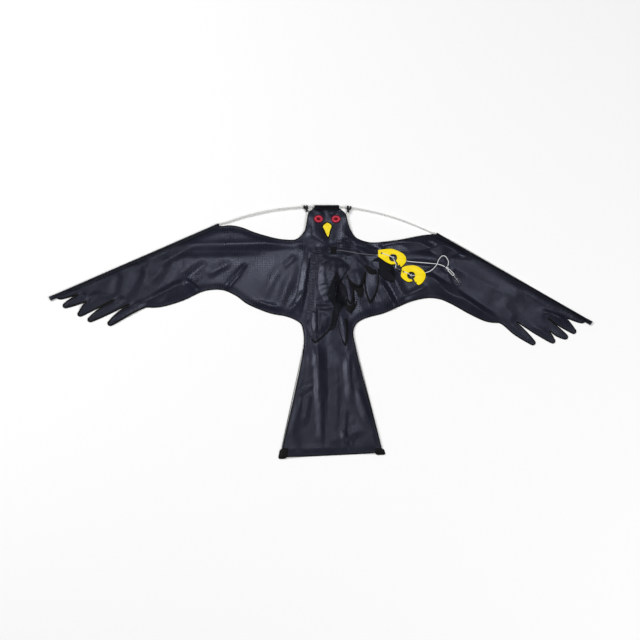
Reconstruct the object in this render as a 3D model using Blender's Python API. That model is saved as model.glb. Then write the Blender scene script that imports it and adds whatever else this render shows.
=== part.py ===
"""Bird scarer kite: a hawk cut from black ripstop, laid on its back with its belly up.

Metres, +Z up, +Y towards the head, +X towards the right of the view from above. The sail lies
on the floor. A bent fibreglass bow runs through sleeves along both wings, and two tail spars
cross behind the sail. The belly carries a pouch, feather flaps, the bridle and its winders.
"""
import math

import bmesh
import bpy
from mathutils import Matrix, Vector
from mathutils.bvhtree import BVHTree
from mathutils.geometry import delaunay_2d_cdt, intersect_line_line_2d

for leftover in list(bpy.data.objects):
    bpy.data.objects.remove(leftover, do_unlink=True)

# Driving dimensions of the bird
LEFT_SPAN = 0.758
RIGHT_SPAN = 0.722
HEAD_WIDTH = 0.1164
HEAD_LENGTH = 0.1051
WING_DEPTH = 0.2962
TAIL_LENGTH = 0.3318
TAIL_WIDTH = 0.2857

# Cloth
CLOTH = 0.0008
GAP = 0.0003
MESH_PITCH = 0.038
BODY_PITCH = 0.024
RIM_PITCH = 0.019
HEAD_RISE = 0.0026
FOLD_HEIGHT = 0.0042
RIDGE_WIDTH = 0.016
QUIET_EDGE = 0.034

# Rods and their fittings
BOW_DIAMETER = 0.0040
BOW_DROP = 0.0050
TAIL_ROD_DIAMETER = 0.0030
FERRULE_WALL = 0.0008
FERRULE_LENGTH = 0.040
SLEEVE_HEM = 0.0062
HEAD_HEM = 0.0070
CONNECTOR_WALL = 0.0024
LOBE_WIDTH = 0.0044
LOBE_GAP = 0.0032
STEM_LENGTH = 0.0150
STEM_WALL = 0.0015
SOCKET_DEPTH = 0.0090
TIP_POCKET_LENGTH = 0.016
TIP_WALL = 0.0016
TAIL_POCKET_LENGTH = 0.030
TAIL_POCKET_WIDTH = 0.021
TAIL_HEM = 0.0085

# Face
EYE_WIDTH = 0.0258
EYE_HEIGHT = 0.0222
EYE_SPACING = 0.0476
EYE_DROP = 0.0417
BEAK_WIDTH = 0.0262
BEAK_LENGTH = 0.0457
BEAK_DROP = 0.0507

# Belly
POUCH_WIDTH = 0.104
POUCH_DROP = 0.1447
POUCH_LENGTH = 0.1505
POUCH_SWELL = 0.0095
POUCH_HEM = 0.0215
GUSSET_WIDTH = 0.0125
GUSSET_LENGTH = 0.190
TAB_WIDTH = 0.0165
TAB_LENGTH = 0.0205
FLAP_CURL = 0.0022

# Bridle, winders and the swivel at the line's end
CORD_DIAMETER = 0.0020
WINDER_THICKNESS = 0.0020
WINDER_LENGTH = 0.0860
HUB_HOLE_RADIUS = 0.0092
LACE_HOLE_RADIUS = 0.0026
KNOT_RADIUS = 0.0034
RING_RADIUS = 0.0028
LINK_RING_RADIUS = 0.0034
RING_WIRE = 0.0011
BARREL_RADIUS = 0.0024
BARREL_LENGTH = 0.0052
NECK_RADIUS = 0.0009
NECK_LENGTH = 0.0016
SNAP_LENGTH = 0.0125
SNAP_WIDTH = 0.0058
SNAP_WIRE = 0.0011

BOW_RADIUS = BOW_DIAMETER / 2
TAIL_ROD_RADIUS = TAIL_ROD_DIAMETER / 2
LAYER = CLOTH + GAP
SPANS = {-1: LEFT_SPAN, 1: RIGHT_SPAN}
SIDE_NAMES = {-1: "left", 1: "right"}
CONNECTOR_RADIUS = BOW_RADIUS + CONNECTOR_WALL
SLEEVE_BORE = BOW_RADIUS + GAP
SLEEVE_RADIUS = SLEEVE_BORE + CLOTH
FERRULE_RADIUS = BOW_RADIUS + GAP + FERRULE_WALL
HEAD_SLEEVE_BORE = FERRULE_RADIUS + GAP
HEAD_SLEEVE_RADIUS = HEAD_SLEEVE_BORE + CLOTH
SLEEVE_LEVEL = SLEEVE_RADIUS
BOW_LEVEL = CONNECTOR_RADIUS + GAP
POCKET_RADIUS = TAIL_ROD_RADIUS + GAP + CLOTH
POCKET_LEVEL = POCKET_RADIUS
LOW_SPAR_LEVEL = TAIL_ROD_RADIUS + GAP
HIGH_SPAR_LEVEL = LOW_SPAR_LEVEL + TAIL_ROD_DIAMETER + GAP
UP = Vector((0, 0, 1))

# Outline of each wing: across as a share of the span, down as a share of the wing's depth
SHOULDER_SHARES = {
    -1: [(0.14, -0.015), (0.185, -0.029), (0.253, -0.08), (0.305, -0.135), (0.346, -0.157), (0.376, -0.15)],
    1: [(0.161, 0.01), (0.209, 0.008), (0.277, -0.014), (0.329, -0.042), (0.373, -0.061), (0.405, -0.068)],
}
WRIST_SHARES = {-1: (0.392, -0.175), 1: (0.416, -0.082)}
TIP_SHARES = {-1: (1.0, 0.548), 1: (1.0, 0.79)}
FIRST_SLIT_SHARES = {-1: (0.895, 0.525), 1: (0.904, 0.758)}
FINGER_SHARES = {
    -1: [((0.949, 0.641), (0.866, 0.594)), ((0.895, 0.727), (0.767, 0.577)),
         ((0.859, 0.78), (0.712, 0.619)), ((0.787, 0.818), (0.651, 0.646))],
    1: [((0.936, 0.898), (0.833, 0.756)), ((0.905, 0.951), (0.838, 0.877)),
        ((0.857, 0.99), (0.714, 0.79)), ((0.782, 1.009), (0.651, 0.798))],
}
TRAILING_SHARES = {
    -1: [(0.651, 0.650), (0.595, 0.642), (0.518, 0.580), (0.453, 0.497), (0.408, 0.473), (0.367, 0.483),
         (0.322, 0.543), (0.288, 0.612), (0.237, 0.673), (0.198, 0.710), (0.15, 0.733), (0.116, 0.768),
         (0.096, 0.804), (0.087, 0.864)],
    1: [(0.651, 0.803), (0.597, 0.784), (0.533, 0.708), (0.482, 0.633), (0.434, 0.574), (0.398, 0.556),
        (0.364, 0.560), (0.313, 0.592), (0.26, 0.651), (0.213, 0.704), (0.155, 0.744), (0.118, 0.788),
        (0.101, 0.850)],
}
# Head and neck: across as a share of half the head's width, down as a share of its length
HEAD_SHARES = {
    -1: [(-0.60, 0.092), (-0.874, 0.229), (-0.972, 0.523), (-1.084, 0.744), (-1.421, 0.937)],
    1: [(0.555, 0.092), (0.85, 0.245), (0.981, 0.515), (1.15, 0.747), (1.411, 0.92)],
}
# Tail: across as a share of its width, down as a share of its length
TAIL_ROOT_SHARES = {-1: (-0.221, 0.0), 1: (0.25, -0.066)}
TAIL_CORNER_SHARES = {-1: (-0.452, 0.997), 1: (0.526, 0.950)}
# Bow: across as a share of the span, down as a share of the way from its top to the wrist
BOW_SHARES = {
    -1: [(0.361, 0.941), (0.297, 0.598), (0.232, 0.337), (0.168, 0.154), (0.076, 0.012)],
    1: [(0.402, 1.027), (0.367, 0.871), (0.299, 0.586), (0.231, 0.355), (0.163, 0.180), (0.081, 0.031)],
}
CONNECTOR_SHARES = {-1: 0.0765, 1: 0.0815}
FINGER_TIP_SHARE = 0.026
FINGER_BULGE_SHARES = {-1: (0.044, 0.016), 1: (0.016, 0.052)}

# Main folds: start, end, width and height, as shares of the wing's frame and of the fold height
WING_FOLD_SHARES = {
    -1: [((0.56, 0.09), (0.17, 0.03), 0.030, 0.9), ((0.29, 0.24), (0.375, 0.44), 0.018, 0.9),
         ((0.165, 0.2), (0.235, 0.6), 0.026, 0.8), ((0.115, 0.22), (0.175, 0.66), 0.024, 1.0),
         ((0.44, 0.34), (0.56, 0.52), 0.030, 0.6), ((0.70, 0.28), (0.62, 0.50), 0.034, 0.7)],
    1: [((0.20, 0.04), (0.52, 0.13), 0.028, 0.8), ((0.155, 0.55), (0.235, 0.62), 0.024, 0.9),
        ((0.55, 0.42), (0.62, 0.66), 0.030, 0.6), ((0.70, 0.42), (0.74, 0.66), 0.034, 0.6)],
}
# Tail folds in the tail's own shares
TAIL_FOLD_SHARES = [
    ((-0.105, 0.06), (-0.100, 0.36), 0.024, 1.0), ((-0.065, 0.10), (-0.050, 0.84), 0.018, 0.9),
    ((-0.22, 0.30), (-0.29, 0.74), 0.024, 0.7), ((0.16, 0.18), (0.27, 0.86), 0.024, 0.8),
    ((0.05, 0.30), (0.08, 0.90), 0.022, 0.5),
]


# Places on the bird
def wing_point(side, share):
    return Vector((side * share[0] * SPANS[side], -HEAD_LENGTH - share[1] * WING_DEPTH))


def head_point(share):
    return Vector((share[0] * HEAD_WIDTH / 2, -share[1] * HEAD_LENGTH))


def tail_point(share):
    return Vector((share[0] * TAIL_WIDTH, -HEAD_LENGTH - WING_DEPTH - share[1] * TAIL_LENGTH))


def smooth_line(points, steps):
    """Points along a Catmull-Rom curve through the given ones, with the ends kept."""
    padded = [points[0] * 2 - points[1]] + list(points) + [points[-1] * 2 - points[-2]]
    line = []
    for k in range(len(points) - 1):
        a, b, c, d = padded[k:k + 4]
        for step in range(steps):
            t = step / steps
            line.append((b * 2 + (c - a) * t + (a * 2 - b * 5 + c * 4 - d) * t ** 2
                         + (b * 3 - a - c * 3 + d) * t ** 3) / 2)
    line.append(points[-1].copy())
    return line


def even_line(points, count):
    """The same polyline with its points an even way apart."""
    lengths = [0.0]
    for a, b in zip(points, points[1:]):
        lengths.append(lengths[-1] + (b - a).length)
    line = []
    k = 0
    for step in range(count + 1):
        goal = lengths[-1] * step / count
        while k < len(points) - 2 and lengths[k + 1] < goal:
            k += 1
        part = (goal - lengths[k]) / max(lengths[k + 1] - lengths[k], GAP * GAP)
        line.append(points[k].lerp(points[k + 1], min(part, 1.0)))
    return line


def spaced_line(points, pitch):
    total = sum((b - a).length for a, b in zip(points, points[1:]))
    return even_line(points, max(1, round(total / pitch)))


def left_normal(direction):
    return Vector((-direction.y, direction.x))


def edge_distance(point, a, b):
    span = b - a
    share = max(0.0, min(1.0, (point - a).dot(span) / span.length_squared))
    return (point - a - span * share).length, share


def smoothstep(value):
    value = max(0.0, min(1.0, value))
    return value * value * (3 - 2 * value)


# The leading edges, the rod's line in each and the sail's edge beside it
def leading_edge(side):
    """Outer line of a wing's front edge from wrist to tip, and the way in across it."""
    wrist = wing_point(side, WRIST_SHARES[side])
    tip = wing_point(side, TIP_SHARES[side])
    along = (tip - wrist).normalized()
    inward = left_normal(along) * side * -1
    return wrist, tip, along, inward


def sleeve_line(side, depth):
    wrist, tip, _, inward = leading_edge(side)
    return wrist + inward * depth, tip + inward * depth


def finger(start, tip, end, radius, bulge_shares):
    """A feather between two slits: two bowed sides and a round tip."""
    axis = (tip - (start + end) / 2).normalized()
    centre = tip - axis * radius
    side = left_normal(axis)
    if side.dot(start - end) < 0:
        side = -side
    points = [start]
    first_bow, last_bow = [(tip - start).length * share for share in bulge_shares]
    points.append((start + centre + side * radius) / 2 + side * first_bow)
    for turn in (0, 36, 72, 108, 144, 180):
        angle = math.radians(turn)
        points.append(centre + side * radius * math.cos(angle) + axis * radius * math.sin(angle))
    points.append((end + centre - side * radius) / 2 - side * last_bow)
    return points


def wing_outline(side):
    """From the neck out along the top of the wing and back under it to the tail."""
    shoulder = [wing_point(side, share) for share in SHOULDER_SHARES[side]]
    head = [head_point(share) for share in HEAD_SHARES[side]]
    front = smooth_line(head + shoulder, 6)
    neck = len(head) * 6
    points = spaced_line(front[:neck + 1], RIM_PITCH / 2) + spaced_line(front[neck:], RIM_PITCH)[1:]
    edge_start, edge_end = sleeve_line(side, SLEEVE_RADIUS * 2)
    along = (edge_end - edge_start).normalized()
    points.append(edge_start + along * SLEEVE_HEM)
    points += spaced_line([edge_start + along * SLEEVE_HEM * 2, edge_end - along * TIP_POCKET_LENGTH],
                          MESH_PITCH)
    slit = wing_point(side, FIRST_SLIT_SHARES[side])
    tip_under = points[-1].lerp(slit, 0.12) + leading_edge(side)[3] * SLEEVE_HEM * 1.4
    points.append(tip_under)
    radius = FINGER_TIP_SHARE * WING_DEPTH
    for tip_share, end_share in FINGER_SHARES[side]:
        end = wing_point(side, end_share)
        points += finger(slit, wing_point(side, tip_share), end, radius, FINGER_BULGE_SHARES[side])
        slit = end
    trailing = [wing_point(side, share) for share in TRAILING_SHARES[side]]
    trailing.append(tail_point(TAIL_ROOT_SHARES[side]))
    points += spaced_line(smooth_line(trailing, 5), RIM_PITCH)
    return points


def tail_edges(side):
    """The root and corner of a tail edge, and where the corner is cut for its pocket."""
    root = tail_point(TAIL_ROOT_SHARES[side])
    corner = tail_point(TAIL_CORNER_SHARES[side])
    other = tail_point(TAIL_CORNER_SHARES[-side])
    on_edge = corner + (root - corner).normalized() * TAIL_POCKET_LENGTH
    on_hem = corner + (other - corner).normalized() * TAIL_POCKET_WIDTH
    return root, corner, on_edge, on_hem


def sail_outline():
    left = wing_outline(-1)
    right = wing_outline(1)
    _, _, left_cut, left_hem = tail_edges(-1)
    _, _, right_cut, right_hem = tail_edges(1)
    bottom = spaced_line([left[-1], left_cut], MESH_PITCH)[1:]
    bottom += spaced_line([left_hem, right_hem], MESH_PITCH)
    bottom += spaced_line([right_cut, right[-1]], MESH_PITCH)[:-1]
    top = spaced_line([right[0], left[0]], MESH_PITCH)[1:-1]
    return left + bottom + right[::-1] + top


# Rods: the routes of the bow and of the tail spars
def bow_point(side, share):
    """A place on the bow, between the head's top and the height of the wrist."""
    wrist_drop = -leading_edge(side)[0].y
    down = BOW_DROP + share[1] * (wrist_drop - BOW_DROP)
    return Vector((side * share[0] * SPANS[side], -down))


def bow_route(side):
    """Rod axis from the wing tip's pocket to the middle of the head."""
    start, end = sleeve_line(side, SLEEVE_RADIUS)
    along = (end - start).normalized()
    tip = end - along * (TIP_WALL + GAP)
    arc = [bow_point(side, share) for share in BOW_SHARES[side]]
    middle = Vector((side * GAP, -BOW_DROP))
    joint = Vector((side * FERRULE_LENGTH * 0.6, middle.y))
    curve = even_line(smooth_line([start] + arc + [joint], 6), 24)
    total = len(curve) - 1
    route = [tip.to_3d() + UP * SLEEVE_LEVEL]
    for k, point in enumerate(curve):
        level = SLEEVE_LEVEL + (BOW_LEVEL - SLEEVE_LEVEL) * smoothstep(2 * k / total)
        route.append(point.to_3d() + UP * level)
    route.append(middle.to_3d() + UP * BOW_LEVEL)
    return route


def connector_place(side):
    """The connector's centre on the bow, the rod's way through it and the stem's way down."""
    route = bow_route(side)
    across = side * CONNECTOR_SHARES[side] * SPANS[side]
    best = min(range(2, len(route) - 1), key=lambda k: abs(route[k].x - across))
    along = (route[best + 1] - route[best - 1]).to_2d().normalized()
    centre = route[best].to_2d()
    pocket = tail_pocket_place(-side)[0]
    return centre, along, (pocket - centre).normalized()


def tail_pocket_place(side):
    """Mouth of a corner pocket and the way that the spar runs into it."""
    _, corner, on_edge, on_hem = tail_edges(side)
    mouth = (on_edge + on_hem) / 2
    neck = Vector((CONNECTOR_SHARES[-side] * SPANS[-side] * -side, 0))
    return mouth, (mouth - neck).normalized()


def spar_route(side):
    """The spar from the connector on this side to the tail corner on the other."""
    centre, _, down = connector_place(side)
    mouth, into = tail_pocket_place(-side)
    start = centre + down * (STEM_LENGTH - SOCKET_DEPTH + GAP)
    end = mouth + into * (TAIL_POCKET_LENGTH / 2 - CLOTH - GAP)
    other_centre, _, other_down = connector_place(-side)
    other_mouth, _ = tail_pocket_place(side)
    crossing = intersect_line_line_2d(start, end, other_centre, other_mouth)
    level = HIGH_SPAR_LEVEL if side < 0 else LOW_SPAR_LEVEL
    stem_end = centre + down * STEM_LENGTH
    return [start.to_3d() + UP * BOW_LEVEL, stem_end.to_3d() + UP * BOW_LEVEL,
            crossing.to_3d() + UP * level,
            mouth.to_3d() + UP * POCKET_LEVEL, end.to_3d() + UP * POCKET_LEVEL]


def spar_line(side):
    """The spar's axis with the bends eased, as far as the rod goes."""
    route = spar_route(side)
    return [route[0]] + even_line(smooth_line(route[1:4], 8), 16) + [route[4]]


# The sail's height over the floor
def fold_lines():
    folds = []
    for side, table in WING_FOLD_SHARES.items():
        for start, end, width, height in table:
            folds.append((wing_point(side, start), wing_point(side, end),
                          width * SPANS[side], height * FOLD_HEIGHT))
    for start, end, width, height in TAIL_FOLD_SHARES:
        folds.append((tail_point(start), tail_point(end), width * TAIL_LENGTH * 2, height * FOLD_HEIGHT))
    return folds


FOLDS = fold_lines()
SPAR_LINES = {side: spar_line(side) for side in (-1, 1)}


def sail_height(point):
    """Underside of the sail: draped over the spars, raised at the head, with its folds."""
    height = HEAD_RISE * smoothstep(1 + point.y / HEAD_LENGTH) * smoothstep(2.2 - abs(point.x) / HEAD_WIDTH * 2)
    quiet = 1.0
    for side in (-1, 1):
        distance, _ = edge_distance(point, *sleeve_line(side, SLEEVE_RADIUS))
        quiet = min(quiet, smoothstep((distance - SLEEVE_HEM * 2) / QUIET_EDGE))
    folds = 0.0
    for start, end, width, rise in FOLDS:
        distance, share = edge_distance(point, start, end)
        if distance < width:
            ends = math.sin(math.pi * (0.08 + 0.84 * share))
            folds = max(folds, rise * ends * (0.5 + 0.5 * math.cos(math.pi * distance / width)))
    height += folds * quiet
    for side in (-1, 1):
        line = SPAR_LINES[side]
        for a, b in zip(line, line[1:]):
            distance, share = edge_distance(point, a.to_2d(), b.to_2d())
            top = a.z + (b.z - a.z) * share + TAIL_ROD_RADIUS + GAP * 2
            height = max(height, top * math.exp(-distance / RIDGE_WIDTH))
    return height


def inside(point, outline):
    odd = False
    for a, b in zip(outline, outline[1:] + outline[:1]):
        if (a.y > point.y) != (b.y > point.y):
            if point.x < a.x + (b.x - a.x) * (point.y - a.y) / (b.y - a.y):
                odd = not odd
    return odd


def rim_clearance(point, outline):
    return min(edge_distance(point, a, b)[0] for a, b in zip(outline, outline[1:] + outline[:1]))


def cross_outline(outline, start, end):
    """The outline with a corner where a line crosses it, and those corners in order."""
    crossed = []
    found = []
    for a, b in zip(outline, outline[1:] + outline[:1]):
        crossed.append(a)
        hit = intersect_line_line_2d(a, b, start, end)
        if hit is not None and min((hit - a).length, (hit - b).length) > GAP:
            crossed.append(hit)
            found.append(hit)
    found.sort(key=lambda point: (point - start).length)
    return crossed, found


def ridge_points(outline):
    """Points along the folds and beside the hems, so that the mesh bends on them."""
    rows = []
    for side in (-1, 1):
        line = sleeve_line(side, SLEEVE_RADIUS + SLEEVE_HEM * 2)
        rows.append(spaced_line(line, MESH_PITCH))
    for start, end, width, _ in FOLDS:
        across = left_normal((end - start).normalized()) * width * 0.7
        rows.append(spaced_line([start, end], MESH_PITCH))
        rows.append(spaced_line([start + across, end + across], MESH_PITCH))
        rows.append(spaced_line([start - across, end - across], MESH_PITCH))
    kept = [point for ridge in SPAR_RIDGES for point in ridge]
    for row in rows:
        for point in row:
            if inside(point, outline) and rim_clearance(point, outline) > BODY_PITCH / 4:
                if all((point - other).length > BODY_PITCH / 3 for other in kept):
                    kept.append(point)
    return kept


def grid_points(outline, taken):
    """A hexagonal grid inside the outline, finer over the body than over the wings."""
    body_left = -POUCH_WIDTH
    body_right = POUCH_WIDTH * 1.2
    top = -POUCH_DROP + POUCH_HEM
    bottom = top - GUSSET_LENGTH * 1.3
    kept = list(taken)
    fresh = []
    for pitch in (BODY_PITCH, MESH_PITCH):
        row_height = pitch * math.sqrt(3) / 2
        rows = int((HEAD_LENGTH + WING_DEPTH + TAIL_LENGTH) / row_height) + 1
        for row in range(rows):
            y = -row * row_height
            columns = int((LEFT_SPAN + RIGHT_SPAN) / pitch) + 1
            for column in range(columns):
                point = Vector((-LEFT_SPAN + (column + row % 2 / 2) * pitch, y))
                over_body = body_left < point.x < body_right and bottom < point.y < top
                if over_body != (pitch == BODY_PITCH):
                    continue
                if not inside(point, outline) or rim_clearance(point, outline) < pitch / 2.2:
                    continue
                if all((point - other).length > pitch / 1.7 for other in kept):
                    kept.append(point)
                    fresh.append(point)
    return fresh


# Meshes and objects
def material(name, colour, roughness, metallic=0.0):
    made = bpy.data.materials.new(name)
    made.use_nodes = True
    shader = made.node_tree.nodes["Principled BSDF"]
    shader.inputs["Base Color"].default_value = (*colour, 1.0)
    shader.inputs["Roughness"].default_value = roughness
    shader.inputs["Metallic"].default_value = metallic
    return made


RIPSTOP = material("ripstop", (0.012, 0.013, 0.020), 0.55)
HEM = material("hem", (0.006, 0.006, 0.009), 0.65)
WEBBING = material("webbing", (0.008, 0.008, 0.010), 0.85)
GLASS_FIBRE = material("glass_fibre", (0.72, 0.72, 0.70), 0.35)
BLACK_PLASTIC = material("black_plastic", (0.010, 0.010, 0.011), 0.45)
YELLOW_PLASTIC = material("yellow_plastic", (0.90, 0.66, 0.005), 0.30)
RED_PATCH = material("red_patch", (0.56, 0.02, 0.05), 0.60)
DARK_RED_PATCH = material("dark_red_patch", (0.16, 0.0, 0.005), 0.60)
YELLOW_PATCH = material("yellow_patch", (0.88, 0.64, 0.01), 0.55)
CORD = material("cord", (0.70, 0.70, 0.68), 0.80)
STEEL = material("steel", (0.36, 0.36, 0.37), 0.28, 1.0)

kite = bpy.data.objects.new("kite", None)
bpy.context.scene.collection.objects.link(kite)


def place(name, data, look, smooth=0):
    """Link an object under the kite with its material, shaded smooth below the given angle."""
    made = bpy.data.objects.new(name, data)
    bpy.context.scene.collection.objects.link(made)
    made.parent = kite
    data.materials.clear()
    data.materials.append(look)
    if smooth:
        data.shade_smooth()
        data.set_sharp_from_angle(angle=math.radians(smooth))
    return made


def to_mesh(name, mesh_data):
    mesh = bpy.data.meshes.new(name)
    bmesh.ops.recalc_face_normals(mesh_data, faces=mesh_data.faces)
    mesh_data.to_mesh(mesh)
    mesh_data.free()
    return mesh


def slab(corners, faces, heights, thickness):
    """A closed sheet from a flat triangulation, its lower side at the given heights."""
    made = bmesh.new()
    low = [made.verts.new((point.x, point.y, height)) for point, height in zip(corners, heights)]
    high = [made.verts.new((point.x, point.y, height + thickness))
            for point, height in zip(corners, heights)]
    uses = {}
    for face in faces:
        made.faces.new([high[k] for k in face])
        made.faces.new([low[k] for k in reversed(face)])
        for a, b in zip(face, face[1:] + face[:1]):
            uses[(a, b)] = True
    for a, b in uses:
        if (b, a) not in uses:
            made.faces.new((low[a], low[b], high[b], high[a]))
    return made


def triangulate(outline, rows, ridges):
    """Triangles inside an outline, through the given inner points and along the ridges."""
    count = len(outline)
    edges = [(k, (k + 1) % count) for k in range(count)]
    points = list(outline) + list(rows)
    for ridge in ridges:
        first = len(points)
        points += ridge
        edges += [(first + k, first + k + 1) for k in range(len(ridge) - 1)]
    corners, _, faces, _, _, _ = delaunay_2d_cdt(points, edges, [], 1, GAP / 10)
    kept = []
    for face in faces:
        face = list(face)
        a, b, c = [corners[k] for k in face]
        area = (b - a).cross(c - a)
        if abs(area) < GAP * GAP:
            continue
        if inside((a + b + c) / 3, outline):
            kept.append(face if area > 0 else face[::-1])
    used = sorted({k for face in kept for k in face})
    number = {k: n for n, k in enumerate(used)}
    return [corners[k] for k in used], [[number[k] for k in face] for face in kept]


SAIL_OUTLINE = sail_outline()
SPAR_RIDGES = []
for side in (-1, 1):
    SAIL_OUTLINE, ends = cross_outline(SAIL_OUTLINE, SPAR_LINES[side][0].to_2d(), SPAR_LINES[side][-1].to_2d())
    SPAR_RIDGES.append(spaced_line([ends[0], ends[-1]], BODY_PITCH))
FOLD_POINTS = ridge_points(SAIL_OUTLINE)
GRID_POINTS = grid_points(SAIL_OUTLINE, FOLD_POINTS)
SPAR_POINT_COUNT = sum(len(ridge) for ridge in SPAR_RIDGES)
SAIL_CORNERS, SAIL_FACES = triangulate(SAIL_OUTLINE, FOLD_POINTS[SPAR_POINT_COUNT:] + GRID_POINTS, SPAR_RIDGES)
SAIL_HEIGHTS = [sail_height(corner) for corner in SAIL_CORNERS]


def boolean(target, cutter, operation):
    """The target's mesh after one Boolean with the cutter, which is removed."""
    modifier = target.modifiers.new(operation.lower(), "BOOLEAN")
    modifier.operation = operation
    modifier.solver = "EXACT"
    modifier.object = cutter
    depsgraph = bpy.context.evaluated_depsgraph_get()
    mesh = bpy.data.meshes.new_from_object(target.evaluated_get(depsgraph))
    target.modifiers.remove(modifier)
    old = target.data
    target.data = mesh
    mesh.name = target.name
    bpy.data.meshes.remove(old)
    bpy.data.objects.remove(cutter, do_unlink=True)
    return target


def loose(name, mesh):
    made = bpy.data.objects.new(name, mesh)
    bpy.context.scene.collection.objects.link(made)
    return made


def prism(name, outline, bottom, top):
    made = bmesh.new()
    low = [made.verts.new((point.x, point.y, bottom)) for point in outline]
    high = [made.verts.new((point.x, point.y, top)) for point in outline]
    made.faces.new(low[::-1])
    made.faces.new(high)
    count = len(outline)
    for k in range(count):
        made.faces.new((low[k], low[(k + 1) % count], high[(k + 1) % count], high[k]))
    return loose(name, to_mesh(name, made))


def patch(name, outline, level, look, swell=None, cuts=0):
    """A cloth piece that follows the sail, so many layers above it, with a swell of its own."""
    reach = BODY_PITCH + MESH_PITCH
    low_x = min(point.x for point in outline) - reach
    high_x = max(point.x for point in outline) + reach
    low_y = min(point.y for point in outline) - reach
    high_y = max(point.y for point in outline) + reach
    faces = [face for face in SAIL_FACES
             if any(low_x < SAIL_CORNERS[k].x < high_x and low_y < SAIL_CORNERS[k].y < high_y for k in face)]
    sheet = bmesh.new()
    points = {k: sheet.verts.new(SAIL_CORNERS[k].to_3d() + UP * (SAIL_HEIGHTS[k] + level * LAYER))
              for k in sorted({k for face in faces for k in face})}
    for face in faces:
        sheet.faces.new([points[k] for k in face])
    if cuts:
        bmesh.ops.subdivide_edges(sheet, edges=sheet.edges, cuts=cuts, use_grid_fill=True)
        bmesh.ops.triangulate(sheet, faces=sheet.faces)
    sheet.verts.index_update()
    corners = [vert.co.to_2d() for vert in sheet.verts]
    heights = [vert.co.z + (swell(vert.co.to_2d()) if swell else 0.0) for vert in sheet.verts]
    triangles = [[vert.index for vert in face.verts] for face in sheet.faces]
    sheet.free()
    made = place(name, to_mesh(name, slab(corners, triangles, heights, CLOTH)), look, smooth=50)
    margin = POUCH_SWELL * 3
    boolean(made, prism(name + "_edge", outline, -margin, margin + level * LAYER), "INTERSECT")
    made.data.materials.clear()
    made.data.materials.append(look)
    return made


def ring_loft(rings, closed_ends=True):
    """A solid through rings of points that all have the same count."""
    made = bmesh.new()
    loops = [[made.verts.new(point) for point in ring] for ring in rings]
    count = len(rings[0])
    for one, other in zip(loops, loops[1:]):
        for k in range(count):
            made.faces.new((one[k], one[(k + 1) % count], other[(k + 1) % count], other[k]))
    if closed_ends:
        made.faces.new(loops[0][::-1])
        made.faces.new(loops[-1])
    else:
        for k in range(count):
            made.faces.new((loops[-1][k], loops[-1][(k + 1) % count], loops[0][(k + 1) % count], loops[0][k]))
    bmesh.ops.triangulate(made, faces=made.faces)
    return made


def ellipse_ring(centre, across, rise, count, start=0.0):
    return [centre + across * math.cos(start + math.tau * k / count)
            + rise * math.sin(start + math.tau * k / count) for k in range(count)]


def turned(name, profile, centre, axis, look, sides=16, hollow=False):
    """A turned piece: pairs of distance along the axis and radius, swept about it."""
    axis = axis.normalized()
    across = axis.orthogonal().normalized()
    rise = axis.cross(across)
    rings = [ellipse_ring(centre + axis * along, across * radius, rise * radius, sides)
             for along, radius in profile]
    return place(name, to_mesh(name, ring_loft(rings, not hollow)), look, smooth=40)


def rod(name, route, radius, look, resolution=3):
    """A round rod or cord along its route, as a bevelled curve with filled caps."""
    curve = bpy.data.curves.new(name, "CURVE")
    curve.dimensions = "3D"
    curve.bevel_depth = radius
    curve.bevel_resolution = resolution
    curve.use_fill_caps = True
    spline = curve.splines.new("POLY")
    spline.points.add(len(route) - 1)
    for point, target in zip(spline.points, route):
        point.co = (*target, 1.0)
    made = bpy.data.objects.new(name, curve)
    bpy.context.scene.collection.objects.link(made)
    made.parent = kite
    curve.materials.append(look)
    return made


# The sail
place("main_sail", to_mesh("main_sail", slab(SAIL_CORNERS, SAIL_FACES, SAIL_HEIGHTS, CLOTH)), RIPSTOP, smooth=50)
sail_solid = bmesh.new()
sail_solid.from_mesh(bpy.data.meshes["main_sail"])
SAIL_TREE = BVHTree.FromBMesh(sail_solid)
sail_solid.free()


def sail_top(x, y):
    """Height of the sail's upper face at a place on it."""
    hit = SAIL_TREE.ray_cast(Vector((x, y, HEAD_LENGTH)), -UP)
    return hit[0].z if hit[0] else 0.0


# Sleeves and the bow inside them
def sleeve_section(bore, wall, hem, hem_level, inward, sides=16):
    """Section of a sleeve: its bore, and a round back that runs out into the sewn hem."""
    outer = []
    inner = []
    for k in range(sides):
        angle = math.tau * (k + 0.5) / sides
        inner.append(inward * bore * math.cos(angle) + UP * bore * math.sin(angle))
        outer.append(inward * (bore + wall) * math.cos(angle) + UP * (bore + wall) * math.sin(angle))
    edge = hem + bore + wall
    outer[0] = inward * edge + UP * (hem_level + wall)
    outer[-1] = inward * edge + UP * hem_level
    outer[-2] = inward * math.sqrt((bore + wall) ** 2 - hem_level ** 2) + UP * hem_level
    outer[1] = inward * (bore + wall) + UP * max(hem_level + wall, (bore + wall) * math.sin(math.tau / sides))
    return outer, inner


def sleeve(name, start, end, level, bore, hem, hem_level, inward):
    """A straight cloth tube round the rod, open at both ends, with its hem over the sail."""
    outer, inner = sleeve_section(bore, CLOTH, hem, hem_level - level, inward.to_3d())
    near = start.to_3d() + UP * level
    far = end.to_3d() + UP * level
    rings = [[near + point for point in inner], [near + point for point in outer],
             [far + point for point in outer], [far + point for point in inner]]
    return place(name, to_mesh(name, ring_loft(rings, closed_ends=False)), HEM, smooth=50)


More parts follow.
